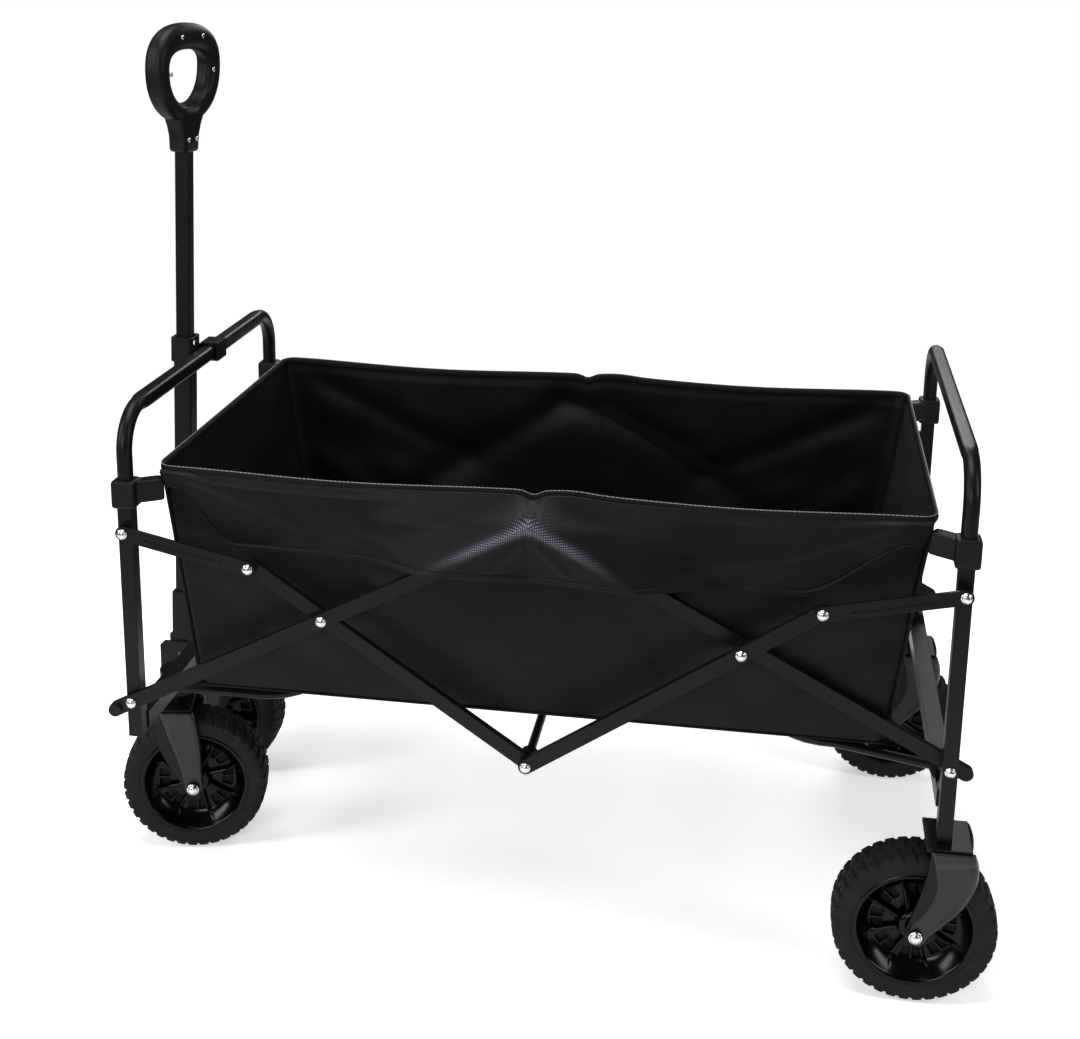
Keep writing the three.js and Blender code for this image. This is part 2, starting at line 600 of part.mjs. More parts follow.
add('front_cross_tube', crossTubeGeometry(HOOPS.front), STEEL);
add('rear_cross_tube', crossTubeGeometry(HOOPS.rear), STEEL);
add('front_bow', bowGeometry(-FRAME_X), STEEL);
add('rear_bow', bowGeometry(FRAME_X), STEEL);
add('front_hoop', hoopGeometry(HOOPS.front), STEEL);
add('rear_hoop', hoopGeometry(HOOPS.rear), STEEL);
add('centre_cross_tube', join(
  rod(HOOP_RADIUS, -MIDDLE_ARM[0] + GAP, MIDDLE_ARM[0] - GAP, 0, lowZ, 16),
  rod(11, -MIDDLE_ARM[0] + GAP, -MIDDLE_ARM[0] + 13, 0, lowZ, 12),
  rod(11, MIDDLE_ARM[0] - 13, MIDDLE_ARM[0] - GAP, 0, lowZ, 12)), STEEL);
add('bag_sides_and_floor', tubGeometry(), CLOTH_BLACK);
add('bag_front_panel', endPanelGeometry(-1), CLOTH_BLACK);
add('bag_rear_panel', endPanelGeometry(1), CLOTH_BLACK);
for (const [endName, end] of Object.entries({ front: -1, rear: 1 })) {
  const [inner, outer] = MAT.x;
  add(`floor_mat_${endName}`, box(Math.min(end * inner, end * outer),
    Math.max(end * inner, end * outer), -MAT.y, MAT.y, ...MAT.z), CLOTH_BLACK);
}

add('handle_bracket', bracketGeometry(), STEEL);
add('handle_pivot_bolt', pivotBoltGeometry(), ZINC);
add('bow_clip', bowClipGeometry(), PLASTIC);
const handle = new THREE.Group();
handle.position.set(HANDLE_PIVOT.x, 0, HANDLE_PIVOT.z);
handle.rotation.y = rad(HANDLE_LEAN);
add('handle_foot', footGeometry(), PLASTIC, handle);
add('handle_outer_tube', rectTube(OUTER_TUBE, 1.1, OUTER_TUBE.z), STEEL, handle);
add('handle_collar', collarGeometry(), PLASTIC, handle);
add('handle_button', buttonGeometry(), ZINC, handle);
const upper = new THREE.Group();
add('handle_inner_tube', rectTube(INNER_TUBE, 1, INNER_TUBE.z), STEEL, upper);
add('handle_grip', gripGeometry(), PLASTIC, upper);
handle.add(upper);
wagon.add(handle);

export default wagon;
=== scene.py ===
from math import radians, cos, sin, pi
import bpy
import numpy as np
from mathutils import Matrix, Vector


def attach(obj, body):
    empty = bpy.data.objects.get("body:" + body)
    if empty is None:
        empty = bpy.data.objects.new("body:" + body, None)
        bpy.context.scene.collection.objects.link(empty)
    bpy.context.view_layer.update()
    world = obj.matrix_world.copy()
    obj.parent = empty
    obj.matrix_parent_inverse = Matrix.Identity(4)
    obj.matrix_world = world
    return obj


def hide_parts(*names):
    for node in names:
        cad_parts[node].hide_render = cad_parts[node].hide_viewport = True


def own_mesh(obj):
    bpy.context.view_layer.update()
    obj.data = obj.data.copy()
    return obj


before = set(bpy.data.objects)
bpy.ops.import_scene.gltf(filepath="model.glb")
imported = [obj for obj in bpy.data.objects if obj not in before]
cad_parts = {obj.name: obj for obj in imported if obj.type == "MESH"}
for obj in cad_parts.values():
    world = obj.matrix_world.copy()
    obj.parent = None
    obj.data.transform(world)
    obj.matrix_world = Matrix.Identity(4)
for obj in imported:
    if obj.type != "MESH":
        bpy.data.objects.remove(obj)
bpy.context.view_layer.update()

# ---------------------------------------------------------------------------
# The place where the wagon stands: a pale seamless floor, five large soft
# lamps and the camera. Lengths are worked in millimetres on the wagon's own
# plan, whose middle lies CENTRE_X behind the middle of its box.
# ---------------------------------------------------------------------------
MM = 0.001
CENTRE_X = 28.0


def linear(hex_colour):
    """An sRGB hex colour as linear RGBA."""
    raw = np.array([int(hex_colour[i:i + 2], 16) for i in (1, 3, 5)]) / 255
    low = raw <= 0.04045
    return (*np.where(low, raw / 12.92, ((raw + 0.055) / 1.055) ** 2.4).tolist(), 1.0)


def node(tree, kind, links=None, stops=(), **settings):
    """Adds one shader node. Settings name its sockets or its properties, links
    gives (input socket, source node, source socket), and stops gives the
    (position, sRGB hex) pairs of a colour ramp."""
    made = tree.nodes.new(kind)
    for stop, (at, colour) in enumerate(stops):
        made.color_ramp.elements[stop].position = at
        made.color_ramp.elements[stop].color = linear(colour)
    for key, value in settings.items():
        name = key.replace("_", " ").title()
        if hasattr(made, key) and key not in ("color",):
            setattr(made, key, value)
        elif name in made.inputs:
            made.inputs[name].default_value = value
        else:
            made.inputs[key].default_value = value
    for socket, source, out in links or []:
        tree.links.new(source.outputs[out], made.inputs[socket])
    return made


def new_material(name, colour, roughness, **sockets):
    """A material with its principled shader, whose plain sockets are set."""
    material = bpy.data.materials.new(name)
    material.use_nodes = True
    shader = material.node_tree.nodes["Principled BSDF"]
    shader.inputs["Base Color"].default_value = linear(colour)
    shader.inputs["Roughness"].default_value = roughness
    for key, value in sockets.items():
        shader.inputs[key.replace("_", " ")].default_value = value
    return material, material.node_tree, shader


def mesh_object(name, points, faces, material, smooth=True):
    """A mesh object at the origin from points in the wagon's millimetres."""
    points = np.asarray(points, dtype=float).reshape(-1, 3)
    placed = (points + (CENTRE_X, 0, 0)) * MM
    mesh = bpy.data.meshes.new(name)
    mesh.from_pydata(placed.tolist(), [], np.asarray(faces).tolist())
    mesh.update()
    if smooth:
        mesh.polygons.foreach_set("use_smooth", [True] * len(mesh.polygons))
    mesh.materials.append(material)
    made = bpy.data.objects.new(name, mesh)
    bpy.context.scene.collection.objects.link(made)
    return made


def grid_faces(rows, columns, wrap_rows=False, wrap_columns=False, start=0):
    """Quads that join a grid of points, closed round either way if asked."""
    a = np.arange(rows - (not wrap_rows))[:, None]
    b = np.arange(columns - (not wrap_columns))[None, :]
    a2, b2 = (a + 1) % rows, (b + 1) % columns
    quads = [a * columns + b, a * columns + b2, a2 * columns + b2, a2 * columns + b]
    return np.stack(np.broadcast_arrays(*quads), -1).reshape(-1, 4) + start


# Matt paper takes the light evenly and has no shine.
FLOOR_COLOUR = "#f4f4f3"
floor_paper, tree, shader = new_material("matt_white_paper", FLOOR_COLOUR, 0.95,
                                         Specular_IOR_Level=0.1, Emission_Strength=0.46)
shader.inputs["Emission Color"].default_value = (1, 1, 1, 1)
place = node(tree, "ShaderNodeTexCoord")
grain = node(tree, "ShaderNodeTexNoise", [("Vector", place, "Object")], Scale=300.0)
bump = node(tree, "ShaderNodeBump", [("Height", grain, "Fac")], Strength=0.02)
tree.links.new(bump.outputs["Normal"], shader.inputs["Normal"])
# the sheet fades out round the wagon, so that no far edge shows
reach = node(tree, "ShaderNodeVectorMath", [(0, place, "Object")], operation="LENGTH")
fade = node(tree, "ShaderNodeMapRange", [("Value", reach, "Value")], From_Min=1.0, From_Max=2.4)
clear = node(tree, "ShaderNodeBsdfTransparent")
blend = node(tree, "ShaderNodeMixShader", [("Fac", fade, "Result"), (1, shader, "BSDF"),
                                           (2, clear, "BSDF")])
tree.links.new(blend.outputs["Shader"], tree.nodes["Material Output"].inputs["Surface"])
corner = np.array([[-2600, -2600, 0], [2600, -2600, 0], [2600, 2600, 0], [-2600, 2600, 0.0]])
floor = mesh_object("studio_floor", corner, [[0, 1, 2, 3]], floor_paper, False)

world = bpy.data.worlds.new("studio")
world.use_nodes = True
tree = world.node_tree
seen = node(tree, "ShaderNodeLightPath")
level_out = node(tree, "ShaderNodeMapRange", [("Value", seen, "Is Camera Ray")],
                 To_Min=0.10, To_Max=1.0)
sky = tree.nodes["Background"]
sky.inputs["Color"].default_value = (1, 1, 1, 1)
tree.links.new(level_out.outputs["Result"], sky.inputs["Strength"])
bpy.context.scene.world = world
bpy.context.scene.view_settings.view_transform = "Standard"
bpy.context.scene.view_settings.gamma = 0.88

# name, place, aimed at, width and height (metres), watts
LAMPS = [
    ("overhead_softbox", (-0.3, -0.2, 2.9), (0, 0, 0.2), 2.2, 1.6, 74),
    ("front_softbox", (-0.9, -3.1, 1.5), (0, 0, 0.35), 1.5, 1.1, 46),
    ("left_softbox", (-2.6, -1.3, 1.7), (0, 0, 0.4), 0.8, 1.8, 40),
    ("right_softbox", (2.7, -0.9, 1.5), (0.2, 0, 0.3), 0.6, 1.6, 26),
    ("back_softbox", (0.1, 2.6, 1.9), (0, 0, 0.4), 2.0, 0.7, 30)]
for lamp_name, place, aim, width, height, watts in LAMPS:
    lamp = bpy.data.lights.new(lamp_name, "AREA")
    lamp.shape = "RECTANGLE"
    lamp.size, lamp.size_y, lamp.energy = width, height, watts
    holder = bpy.data.objects.new(lamp_name, lamp)
    holder.location = place
    holder.rotation_euler = (Vector(aim) - Vector(place)).to_track_quat("-Z", "Y").to_euler()
    bpy.context.scene.collection.objects.link(holder)

YAW, PITCH, ROLL = radians(8.5), radians(13.9), radians(0.89)
EYE_PLACE = (0.27296, -1.80057, 1.1337)
forward = Vector((-sin(YAW) * cos(PITCH), cos(YAW) * cos(PITCH), -sin(PITCH)))
level = forward.cross(Vector((0, 0, 1))).normalized()
upward = level.cross(forward)
right = cos(ROLL) * level + sin(ROLL) * upward
upward = cos(ROLL) * upward - sin(ROLL) * level
camera = bpy.data.cameras.new("camera")
camera.sensor_width, camera.lens = 36.0, 52.77
camera.shift_x, camera.shift_y = -0.00554, -0.187
eye = bpy.data.objects.new("camera", camera)
turn = Matrix((right, upward, -forward)).transposed().to_4x4()
eye.matrix_world = Matrix.Translation(EYE_PLACE) @ turn
bpy.context.scene.collection.objects.link(eye)
bpy.context.scene.camera = eye

# ---------------------------------------------------------------------------
# Steelwork: square tube uprights, flat side arms, cross tubes and forks, bent
# and welded, then powder coated. The coat is satin black with a fine orange
# peel, and its edges catch the light where the coat thins.
# ---------------------------------------------------------------------------
POWDER_GRAIN_MM = 1.2
powder_coat, tree, shader = new_material("black_powder_coated_steel", "#0b0c0d", 0.36,
                                         Specular_IOR_Level=0.22)
place = node(tree, "ShaderNodeTexCoord")
peel = node(tree, "ShaderNodeTexNoise", [("Vector", place, "Object")],
            Scale=1000 / POWDER_GRAIN_MM, Detail=3.0)
drift = node(tree, "ShaderNodeTexNoise", [("Vector", place, "Object")], Scale=14.0)
worn = node(tree, "ShaderNodeMapRange", [("Value", drift, "Fac")], To_Min=0.30, To_Max=0.44)
tree.links.new(worn.outputs["Result"], shader.inputs["Roughness"])
soft_edge = node(tree, "ShaderNodeBevel", samples=4, Radius=0.0011)
bump = node(tree, "ShaderNodeBump", [("Height", peel, "Fac"), ("Normal", soft_edge, "Normal")],
            Strength=0.05, Distance=0.0004)
tree.links.new(bump.outputs["Normal"], shader.inputs["Normal"])
shade = node(tree, "ShaderNodeValToRGB", [("Fac", drift, "Fac")],
             stops=[(0.3, "#0b0c0d"), (0.75, "#121314")])
tree.links.new(shade.outputs["Color"], shader.inputs["Base Color"])

STEEL_NODES = ("upright", "arm_", "link", "fork", "housing", "cross_tube", "bow", "hoop",
               "bracket", "outer_tube", "inner_tube")

# ---------------------------------------------------------------------------
# Moulded fittings: clamps, clip, collar and handle foot in glass-filled nylon.
# The mould gives it a fine even spark texture, duller than the steel.
# ---------------------------------------------------------------------------
SPARK_MM = 0.9
nylon, tree, shader = new_material("spark_textured_black_nylon", "#0b0b0c", 0.46,
                                   Specular_IOR_Level=0.24)
place = node(tree, "ShaderNodeTexCoord")
spark = node(tree, "ShaderNodeTexNoise", [("Vector", place, "Object")],
             Scale=1000 / SPARK_MM, Detail=2.0)
soft_edge = node(tree, "ShaderNodeBevel", samples=4, Radius=0.0016)
bump = node(tree, "ShaderNodeBump", [("Height", spark, "Fac"), ("Normal", soft_edge, "Normal")],
            Strength=0.10, Distance=0.0004)
tree.links.new(bump.outputs["Normal"], shader.inputs["Normal"])
scuff = node(tree, "ShaderNodeTexNoise", [("Vector", place, "Object")], Scale=25.0)
shade = node(tree, "ShaderNodeValToRGB", [("Fac", scuff, "Fac")],
             stops=[(0.3, "#0c0c0d"), (0.8, "#141416")])
tree.links.new(shade.outputs["Color"], shader.inputs["Base Color"])
NYLON_NODES = ("clamp", "bow_clip", "handle_foot", "handle_collar")

# ---------------------------------------------------------------------------
# Rivets and bolts: domed heads of zinc plated steel that pin the arms, links,
# axles and pull handle. Bright, with the faint clouding of the plating.
# ---------------------------------------------------------------------------
zinc, tree, shader = new_material("bright_zinc_plate", "#d3d4d6", 0.2, Metallic=1.0)
place = node(tree, "ShaderNodeTexCoord")
cloud = node(tree, "ShaderNodeTexNoise", [("Vector", place, "Object")], Scale=400.0)
dull = node(tree, "ShaderNodeMapRange", [("Value", cloud, "Fac")], To_Min=0.14, To_Max=0.34)
tree.links.new(dull.outputs["Result"], shader.inputs["Roughness"])
shade = node(tree, "ShaderNodeValToRGB", [("Fac", cloud, "Fac")],
             stops=[(0.2, "#b9babd"), (0.8, "#dedfe0")])
tree.links.new(shade.outputs["Color"], shader.inputs["Base Color"])
ZINC_NODES = ("pivot_bolt", "handle_button")

for name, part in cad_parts.items():
    for words, look in ((STEEL_NODES, powder_coat), (NYLON_NODES, nylon), (ZINC_NODES, zinc)):
        if any(word in name for word in words):
            part.data.materials.clear()
            part.data.materials.append(look)

PIVOT_Z, LINK_Z, FRAME_X = 278.0, 480.6, 450.0
ARM_TILT, SHORT_TILT = radians(27.8), radians(33.9)
TO_CROSS, CROSS_TO_LINK = 252, 98       # along a long arm, and along a short one
cross_x = -FRAME_X + TO_CROSS * cos(ARM_TILT)
cross_z = PIVOT_Z + TO_CROSS * sin(ARM_TILT)
low_z = cross_z + cross_x * np.tan(SHORT_TILT)
link_x = cross_x - CROSS_TO_LINK * cos(SHORT_TILT)
link_z = cross_z + CROSS_TO_LINK * sin(SHORT_TILT)
ARM_FACE, FRONT_LINK_FACE, REAR_LINK_FACE, POST_FACE = 264.4, 264.8, 268.8, 256.0
REAR_X, REAR_Y, AXLE_Z, HUB_OUT = 426.0, 236.0, 89.0, 36.0
RIVET, AXLE_NUT = (4.7, 3.3), (5.9, 4.4)        # radius and height of a head
POLE_WELD = 1e-6        # metres between points that are one


def weld(piece):
    """Joins the doubled points at a piece's poles and closed ends."""
    piece.modifiers.new("tidy", "WELD").merge_threshold = POLE_WELD


def joined(pieces):
    """Several (points, faces) pairs as one, with each one's faces counted on."""
    starts = np.cumsum([0] + [len(points) for points, faces in pieces])
    return (np.concatenate([points for points, faces in pieces]),
            np.concatenate([faces + at for (points, faces), at in zip(pieces, starts)]))


def dome(x, y, z, radius, height, side, washer=1.25):
    """Points and faces of a domed head: a profile that runs from a thin washer
    up a quarter of an ellipse to its crown, turned about the Y direction."""
    lift = np.linspace(0, pi / 2, 7)
    r = np.concatenate([[0.0, washer, washer, 1.02], np.cos(lift)[:-1], [0.0]]) * radius
    h = np.concatenate([[-0.25, -0.25, 0.18, 0.22], 0.25 + 0.75 * np.sin(lift)[:-1], [1.0]]) * height
    turns = np.linspace(0, 2 * pi, 24, endpoint=False)
    xs = x + r[None, :] * np.cos(turns)[:, None]
    zs = z + r[None, :] * np.sin(turns)[:, None] * -side
    ys = y + side * h[None, :] + 0 * turns[:, None]
    faces = grid_faces(24, len(r), wrap_rows=True)[:, ::-1]
    return np.stack([xs, ys, zs], -1).reshape(-1, 3), faces


def heads(name, places, body, side):
    """One piece of several domed heads that belong to one body."""
    domes = [dome(x, side * y, z, *size, side) for x, y, z, size in places]
    made = mesh_object(name, *joined(domes), zinc)
    weld(made)
    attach(made, body)


for side_name, side in (("near", -1), ("far", 1)):
    heads(f"arm_a_rivets_{side_name}", [(-FRAME_X, ARM_FACE, PIVOT_Z, RIVET),
          (cross_x, ARM_FACE, cross_z, RIVET)], "long_arms_front", side)
    heads(f"arm_c_rivets_{side_name}", [(0, ARM_FACE, low_z, RIVET),
          (-cross_x, ARM_FACE, cross_z, RIVET)], "short_arms_rear", side)
    heads(f"front_link_rivets_{side_name}", [(-FRAME_X, FRONT_LINK_FACE, LINK_Z, RIVET),
          (link_x, FRONT_LINK_FACE, link_z, RIVET)], "front_links", side)
    heads(f"rear_link_rivets_{side_name}", [(FRAME_X, REAR_LINK_FACE, LINK_Z, RIVET),
          (-link_x, REAR_LINK_FACE, link_z, RIVET)], "rear_links", side)
    heads(f"rear_frame_rivet_{side_name}", [(FRAME_X, POST_FACE, PIVOT_Z, RIVET)],
          "rear_frame", side)
    heads(f"rear_axle_nuts_{side_name}", [(REAR_X, REAR_Y + HUB_OUT, AXLE_Z, AXLE_NUT)],
          "rear_frame", side)

# ---------------------------------------------------------------------------
# Push bars: one length of round tube bent into a bow at each end. Its top run
# is pressed to a square with soft corners, where hands and the handle rest.
# ---------------------------------------------------------------------------
BOW_TOP, BOW_BEND, BOW_Y, BOW_FOOT = 613.0, 46.0, 247.0, 522.5


def smooth_step(value, low, high):
    """0 below low, 1 above high, with an even ease between them."""
    t = np.clip((value - low) / (high - low), 0, 1)
    return t * t * (3 - 2 * t)


def swept(path, size, power, sides=32):
    """A section carried along a path in the plane x = 0. The section is a
    super-ellipse of half width size; its power goes from 2, round, up towards
    a square. The way out of the path's plane is x."""
    ahead = np.gradient(path, axis=0)
    ahead = ahead / np.linalg.norm(ahead, axis=1, keepdims=True)
    out = np.stack([0 * ahead[:, 0], ahead[:, 2], -ahead[:, 1]], -1)
    s = np.linspace(0, 2 * pi, sides, endpoint=False)[None, :]
    c, q = np.cos(s), np.sin(s)
    size = np.broadcast_to(np.asarray(size, float), (len(path),))[:, None]
    reach = size / (np.abs(c) ** power[:, None] + np.abs(q) ** power[:, None]) ** (1 / power[:, None])
    return (path[:, None, :] + (reach * c)[..., None] * np.array([1.0, 0, 0])
            + (reach * q)[..., None] * out[:, None, :])


def bow_path():
    """Up one leg, round a quarter bend, across, and down the other leg."""
    leg = np.linspace(BOW_FOOT, BOW_TOP - BOW_BEND, 8)[:-1]
    bend = np.linspace(0, pi / 2, 15)
    across = np.linspace(-BOW_Y + BOW_BEND, 0, 24)[1:]
    y = np.concatenate([np.full(7, -BOW_Y), -BOW_Y + BOW_BEND * (1 - np.cos(bend)), across])
    z = np.concatenate([leg, BOW_TOP - BOW_BEND + BOW_BEND * np.sin(bend), np.full(23, BOW_TOP)])
    half = np.stack([0 * y, y, z], -1)
    return np.concatenate([half, half[-2::-1] * (1, -1, 1)])


path = bow_path()
flat_top = smooth_step(BOW_Y - BOW_BEND - np.abs(path[:, 1]), -6, 10)
for end_name, end in (("front", -1), ("rear", 1)):
    tube = swept(path, 8.6 - 0.4 * flat_top, 2.0 + 4.5 * flat_top)
    feet = np.repeat(path[[0, -1], None], tube.shape[1], axis=1)
    tube = np.concatenate([feet[:1], tube, feet[1:]])
    bow = mesh_object(f"{end_name}_push_bar", tube + (end * FRAME_X, 0, 0),
                      grid_faces(*tube.shape[:2], wrap_columns=True), powder_coat)
    weld(bow)
    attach(bow, f"{end_name}_frame")
    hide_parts(f"{end_name}_bow")

# ---------------------------------------------------------------------------
# Clamps: a moulded nylon sleeve on each upright, with an arm that reaches in
# and holds the bag's top corner. All their edges are softly rounded.
# ---------------------------------------------------------------------------
CLAMP_Z, SLEEVE_HALF, ARM_HALF = 523.0, (13.2, 12.4, 16.0), (18.0, 8.6, 12.4)
POST_Y, HOLDER_X, HOLDER_Y = 247.0, 431.0, 235.5
BLOCK_POWER = 0.2       # the lower, the squarer the block


def signed_power(value, power):
    """A power of a number's size, which keeps the number's sign."""
    return np.sign(value) * np.abs(value) ** power


def soft_block(centre, half, angle):
    """A box with rounded edges: a sphere's grid whose sines and cosines are
    raised to a low power, stretched to the half sizes and turned level."""
    up = np.linspace(-pi / 2, pi / 2, 41)[:, None]
    turns = np.linspace(0, 2 * pi, 80, endpoint=False)[None, :]
    waves = (np.cos(up), np.sin(up), np.cos(turns), np.sin(turns))
    cos_up, sin_up, cos_turn, sin_turn = [signed_power(np.round(w, 9), BLOCK_POWER) for w in waves]
    long = half[0] * cos_up * cos_turn
    wide = half[1] * cos_up * sin_turn
    tall = half[2] * sin_up + 0 * turns
    return np.stack([centre[0] + long * cos(angle) - wide * sin(angle),
                     centre[1] + long * sin(angle) + wide * cos(angle), centre[2] + tall], -1)


for end_name, end in (("front", -1), ("rear", 1)):
    for side_name, side in (("near", -1), ("far", 1)):
        sleeve = soft_block((end * FRAME_X, side * POST_Y, CLAMP_Z), SLEEVE_HALF, 0)
        reach = np.arctan2(-side * 21, -end * 34)
        holder_arm = soft_block((end * HOLDER_X, side * HOLDER_Y, CLAMP_Z + 1), ARM_HALF, reach)
        quads = grid_faces(*sleeve.shape[:2], wrap_columns=True)
        clamp = mesh_object(f"{end_name}_corner_clamp_{side_name}",
                            *joined([(sleeve.reshape(-1, 3), quads),
                                     (holder_arm.reshape(-1, 3), quads)]), nylon)
        weld(clamp)
        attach(clamp, f"{end_name}_frame")
        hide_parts(f"{end_name}_clamp_{side_name}")

# ---------------------------------------------------------------------------
# Fork legs: pressed from sheet into a bowed blade with a turned-in edge, wide
# under the plate and rounded at the axle. Each pair is welded to its plate.
# ---------------------------------------------------------------------------
CASTER_X, CASTER_Y, TRAIL = -464.0, 91.0, 18.0
CASTERS = (("near", -1, radians(12.7)), ("far", 1, pi))     # its side, and how far it is turned
PLATE_Z, TIP_HALF, REAR_FORK_X = 191.0, 10.5, 458.0
SHEET_STEEL = 0.0026    # metres


def fork_leg(x_top, x_axle, z_top, half_top, half_low, bulge, front_bead, back_bead):
    """A blade on (down, across). Its middle line runs from the plate to the
    axle on a curve; its width narrows; across, it is a flat field with a bead
    near either side and edges that turn in towards the wheel."""
    t = np.linspace(0, 1, 46)[:, None]
    q = np.linspace(-1, 1, 33)[None, :]
    ease = t ** 1.25
    middle_x = x_top + (x_axle - x_top) * ease + bulge * np.sin(pi * t)
    middle_z = z_top + (AXLE_Z - z_top) * t
    half = half_low + (half_top - half_low) * (1 - smooth_step(t, 0.15, 1.0))
    tangent_x = np.gradient(middle_x[:, 0], axis=0)[:, None]
    tangent_z = np.gradient(middle_z[:, 0], axis=0)[:, None]
    size = np.hypot(tangent_x, tangent_z)
    side_x, side_z = -tangent_z / size, tangent_x / size
    lean = smooth_step(t, 0.0, 0.25)
    side_x = 1 + (side_x - 1) * lean
    side_z = side_z * lean
    x = middle_x + side_x * q * half
    z = middle_z + side_z * q * half
    tip = smooth_step(t, 0.93, 1.0)
    z = z - tip * np.sqrt(np.clip(1 - q ** 2, 0, 1)) * half_low
    edge = smooth_step(np.abs(q), 0.86, 1.0)
    bead = front_bead * np.exp(-((q + 0.66) / 0.11) ** 2) + back_bead * np.exp(-((q - 0.66) / 0.11) ** 2)
    bead = bead * smooth_step(t, 0.1, 0.25) * (1 - smooth_step(t, 0.7, 0.95))
    step = 2.2 * (1 - smooth_step(t, 0.10, 0.17))
    y = 31.0 + bead + step - 4.5 * edge ** 2
    return np.stack([x, y + 0 * x, z], -1)


def placed(points, centre, turn):
    """Turns points about the upright direction and sets them at a centre."""
    x = points[..., 0] * cos(turn) - points[..., 1] * sin(turn)
    y = points[..., 0] * sin(turn) + points[..., 1] * cos(turn)
    return np.stack([x, y, points[..., 2]], -1) + centre


def thicken(piece, name, thickness, offset):
    """Gives a sheet its wall, which lies inside it at -1 and outside it at 1."""
    wall = piece.modifiers.new(name, "SOLIDIFY")
    wall.thickness, wall.offset = thickness, offset


# Pressed sheet under the same coat: more satin, with faint streaks down it. Its base colour is painted
# lighter than the coat's, a painted highlight for the front light on the blades.
pressing_with_painted_highlight, tree, shader = new_material("satin_black_pressed_steel_painted_lighter", "#1a1b1d", 0.42,
                                      Specular_IOR_Level=0.45)
place = node(tree, "ShaderNodeTexCoord")
peel = node(tree, "ShaderNodeTexNoise", [("Vector", place, "Object")], Scale=500.0)
bump = node(tree, "ShaderNodeBump", [("Height", peel, "Fac")], Strength=0.08, Distance=0.0004)
tree.links.new(bump.outputs["Normal"], shader.inputs["Normal"])
streak = node(tree, "ShaderNodeTexNoise", [("Vector", place, "Object")], Scale=26.0, Detail=4.0)
# painted highlight: both stops lie well above the frame coat's tone; the streak noise only varies it at
# random
shade = node(tree, "ShaderNodeValToRGB", [("Fac", streak, "Fac")],
             stops=[(0.3, "#131416"), (0.8, "#242528")])
tree.links.new(shade.outputs["Color"], shader.inputs["Base Color"])
satin = node(tree, "ShaderNodeMapRange", [("Value", streak, "Fac")], To_Min=0.34, To_Max=0.5)
tree.links.new(satin.outputs["Result"], shader.inputs["Roughness"])

for side_name, side, turn in CASTERS:
    for face, face_name in ((-1, "out"), (1, "in")):
        front = fork_leg(0, TRAIL, PLATE_Z, 19.0, TIP_HALF, 4.0, 0.3, 0.4) * (1, face, 1)
        front = placed(front, (CASTER_X, side * CASTER_Y, 0), turn)
        rear = fork_leg(REAR_FORK_X, REAR_X, PLATE_Z, 22.5, TIP_HALF, 17.0, 0.0, 2.2) * (1, face, 1)
        rear = rear + (0, side * REAR_Y, 0)
        quads = grid_faces(*rear.shape[:2])
        for end_name, blade, body in (("front", front, f"caster_fork_{side_name}"),
                                      ("rear", rear, "rear_frame")):
            made = mesh_object(f"{end_name}_fork_blade_{side_name}_{face_name}", blade,
                               quads if face < 0 else quads[:, ::-1], pressing_with_painted_highlight)
            thicken(made, "sheet", SHEET_STEEL, 0.0)
            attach(made, body)

# ---------------------------------------------------------------------------
# Tyres: solid moulded rubber bands with a block tread that wraps over the
# shoulders. Matt dark grey-black, a little dusty in the grooves.
# ---------------------------------------------------------------------------
BLOCKS, TREAD_LIFT = 38, 2.5
rubber, tree, shader = new_material("moulded_tyre_rubber", "#1b1b1c", 0.72,
                                    Specular_IOR_Level=0.2)
place = node(tree, "ShaderNodeTexCoord")
dust = node(tree, "ShaderNodeTexNoise", [("Vector", place, "Object")], Scale=60.0, Detail=4.0)
shade = node(tree, "ShaderNodeValToRGB", [("Fac", dust, "Fac")],
             stops=[(0.3, "#171718"), (0.8, "#232324")])
tree.links.new(shade.outputs["Color"], shader.inputs["Base Color"])
pore = node(tree, "ShaderNodeTexNoise", [("Vector", place, "Object")], Scale=900.0)
bump = node(tree, "ShaderNodeBump", [("Height", pore, "Fac")], Strength=0.15, Distance=0.0004)
tree.links.new(bump.outputs["Normal"], shader.inputs["Normal"])


def tyre_surface():
    """A closed cross-section carried round the axle. The section runs bead,
    sidewall, shoulder, crown and back; blocks lift the crown and the shoulder
    by TREAD_LIFT where a stepped wave round the wheel is high, half a block apart on
    the two edges and skewed across the crown."""
    along = np.linspace(0, 1, 57)
    key = np.array([0, 0.06, 0.14, 0.24, 0.31, 0.36, 0.5, 0.64, 0.69, 0.76, 0.86, 0.94, 1])
    r_key = np.array([66, 64.3, 68, 78, 83, 85.2, 86.2, 85.2, 83, 78, 68, 64.3, 66])
    y_key = np.array([-14, -21.2, -23, -24, -23, -19.5, 0, 19.5, 23, 24, 23, 21.2, 14])
    r, y = np.interp(along, key, r_key), np.interp(along, key, y_key)
    turns = np.linspace(0, 2 * pi, 532, endpoint=False)[:, None]
    skew = np.where(y > 0, 0.5, 0.0) + 0.35 * np.abs(y) / 24
    wave = (turns / (2 * pi) * BLOCKS + skew[None, :]) % 1
    block = smooth_step(wave, 0.0, 0.08) * (1 - smooth_step(wave, 0.70, 0.78))
    edge = smooth_step(r, 79.5, 81.5)
    gap = smooth_step(np.abs(y), 0.6, 2.2) * (1 - 0.9 * np.exp(-((np.abs(y) - 12.5) / 1.3) ** 2))
    lift = TREAD_LIFT * block * (edge * gap)[None, :]
    out = smooth_step(r, 80, 85)[None, :]
    radius = r[None, :] + lift * (0.45 + 0.55 * out)
    across = y[None, :] + np.sign(y)[None, :] * lift * 0.35 * (1 - out)
    ring = 0.3 * np.exp(-((r - 77) / 0.7) ** 2)
    across = across + np.sign(y)[None, :] * ring[None, :]
    return np.stack([radius * np.cos(turns), across, radius * np.sin(turns)], -1)


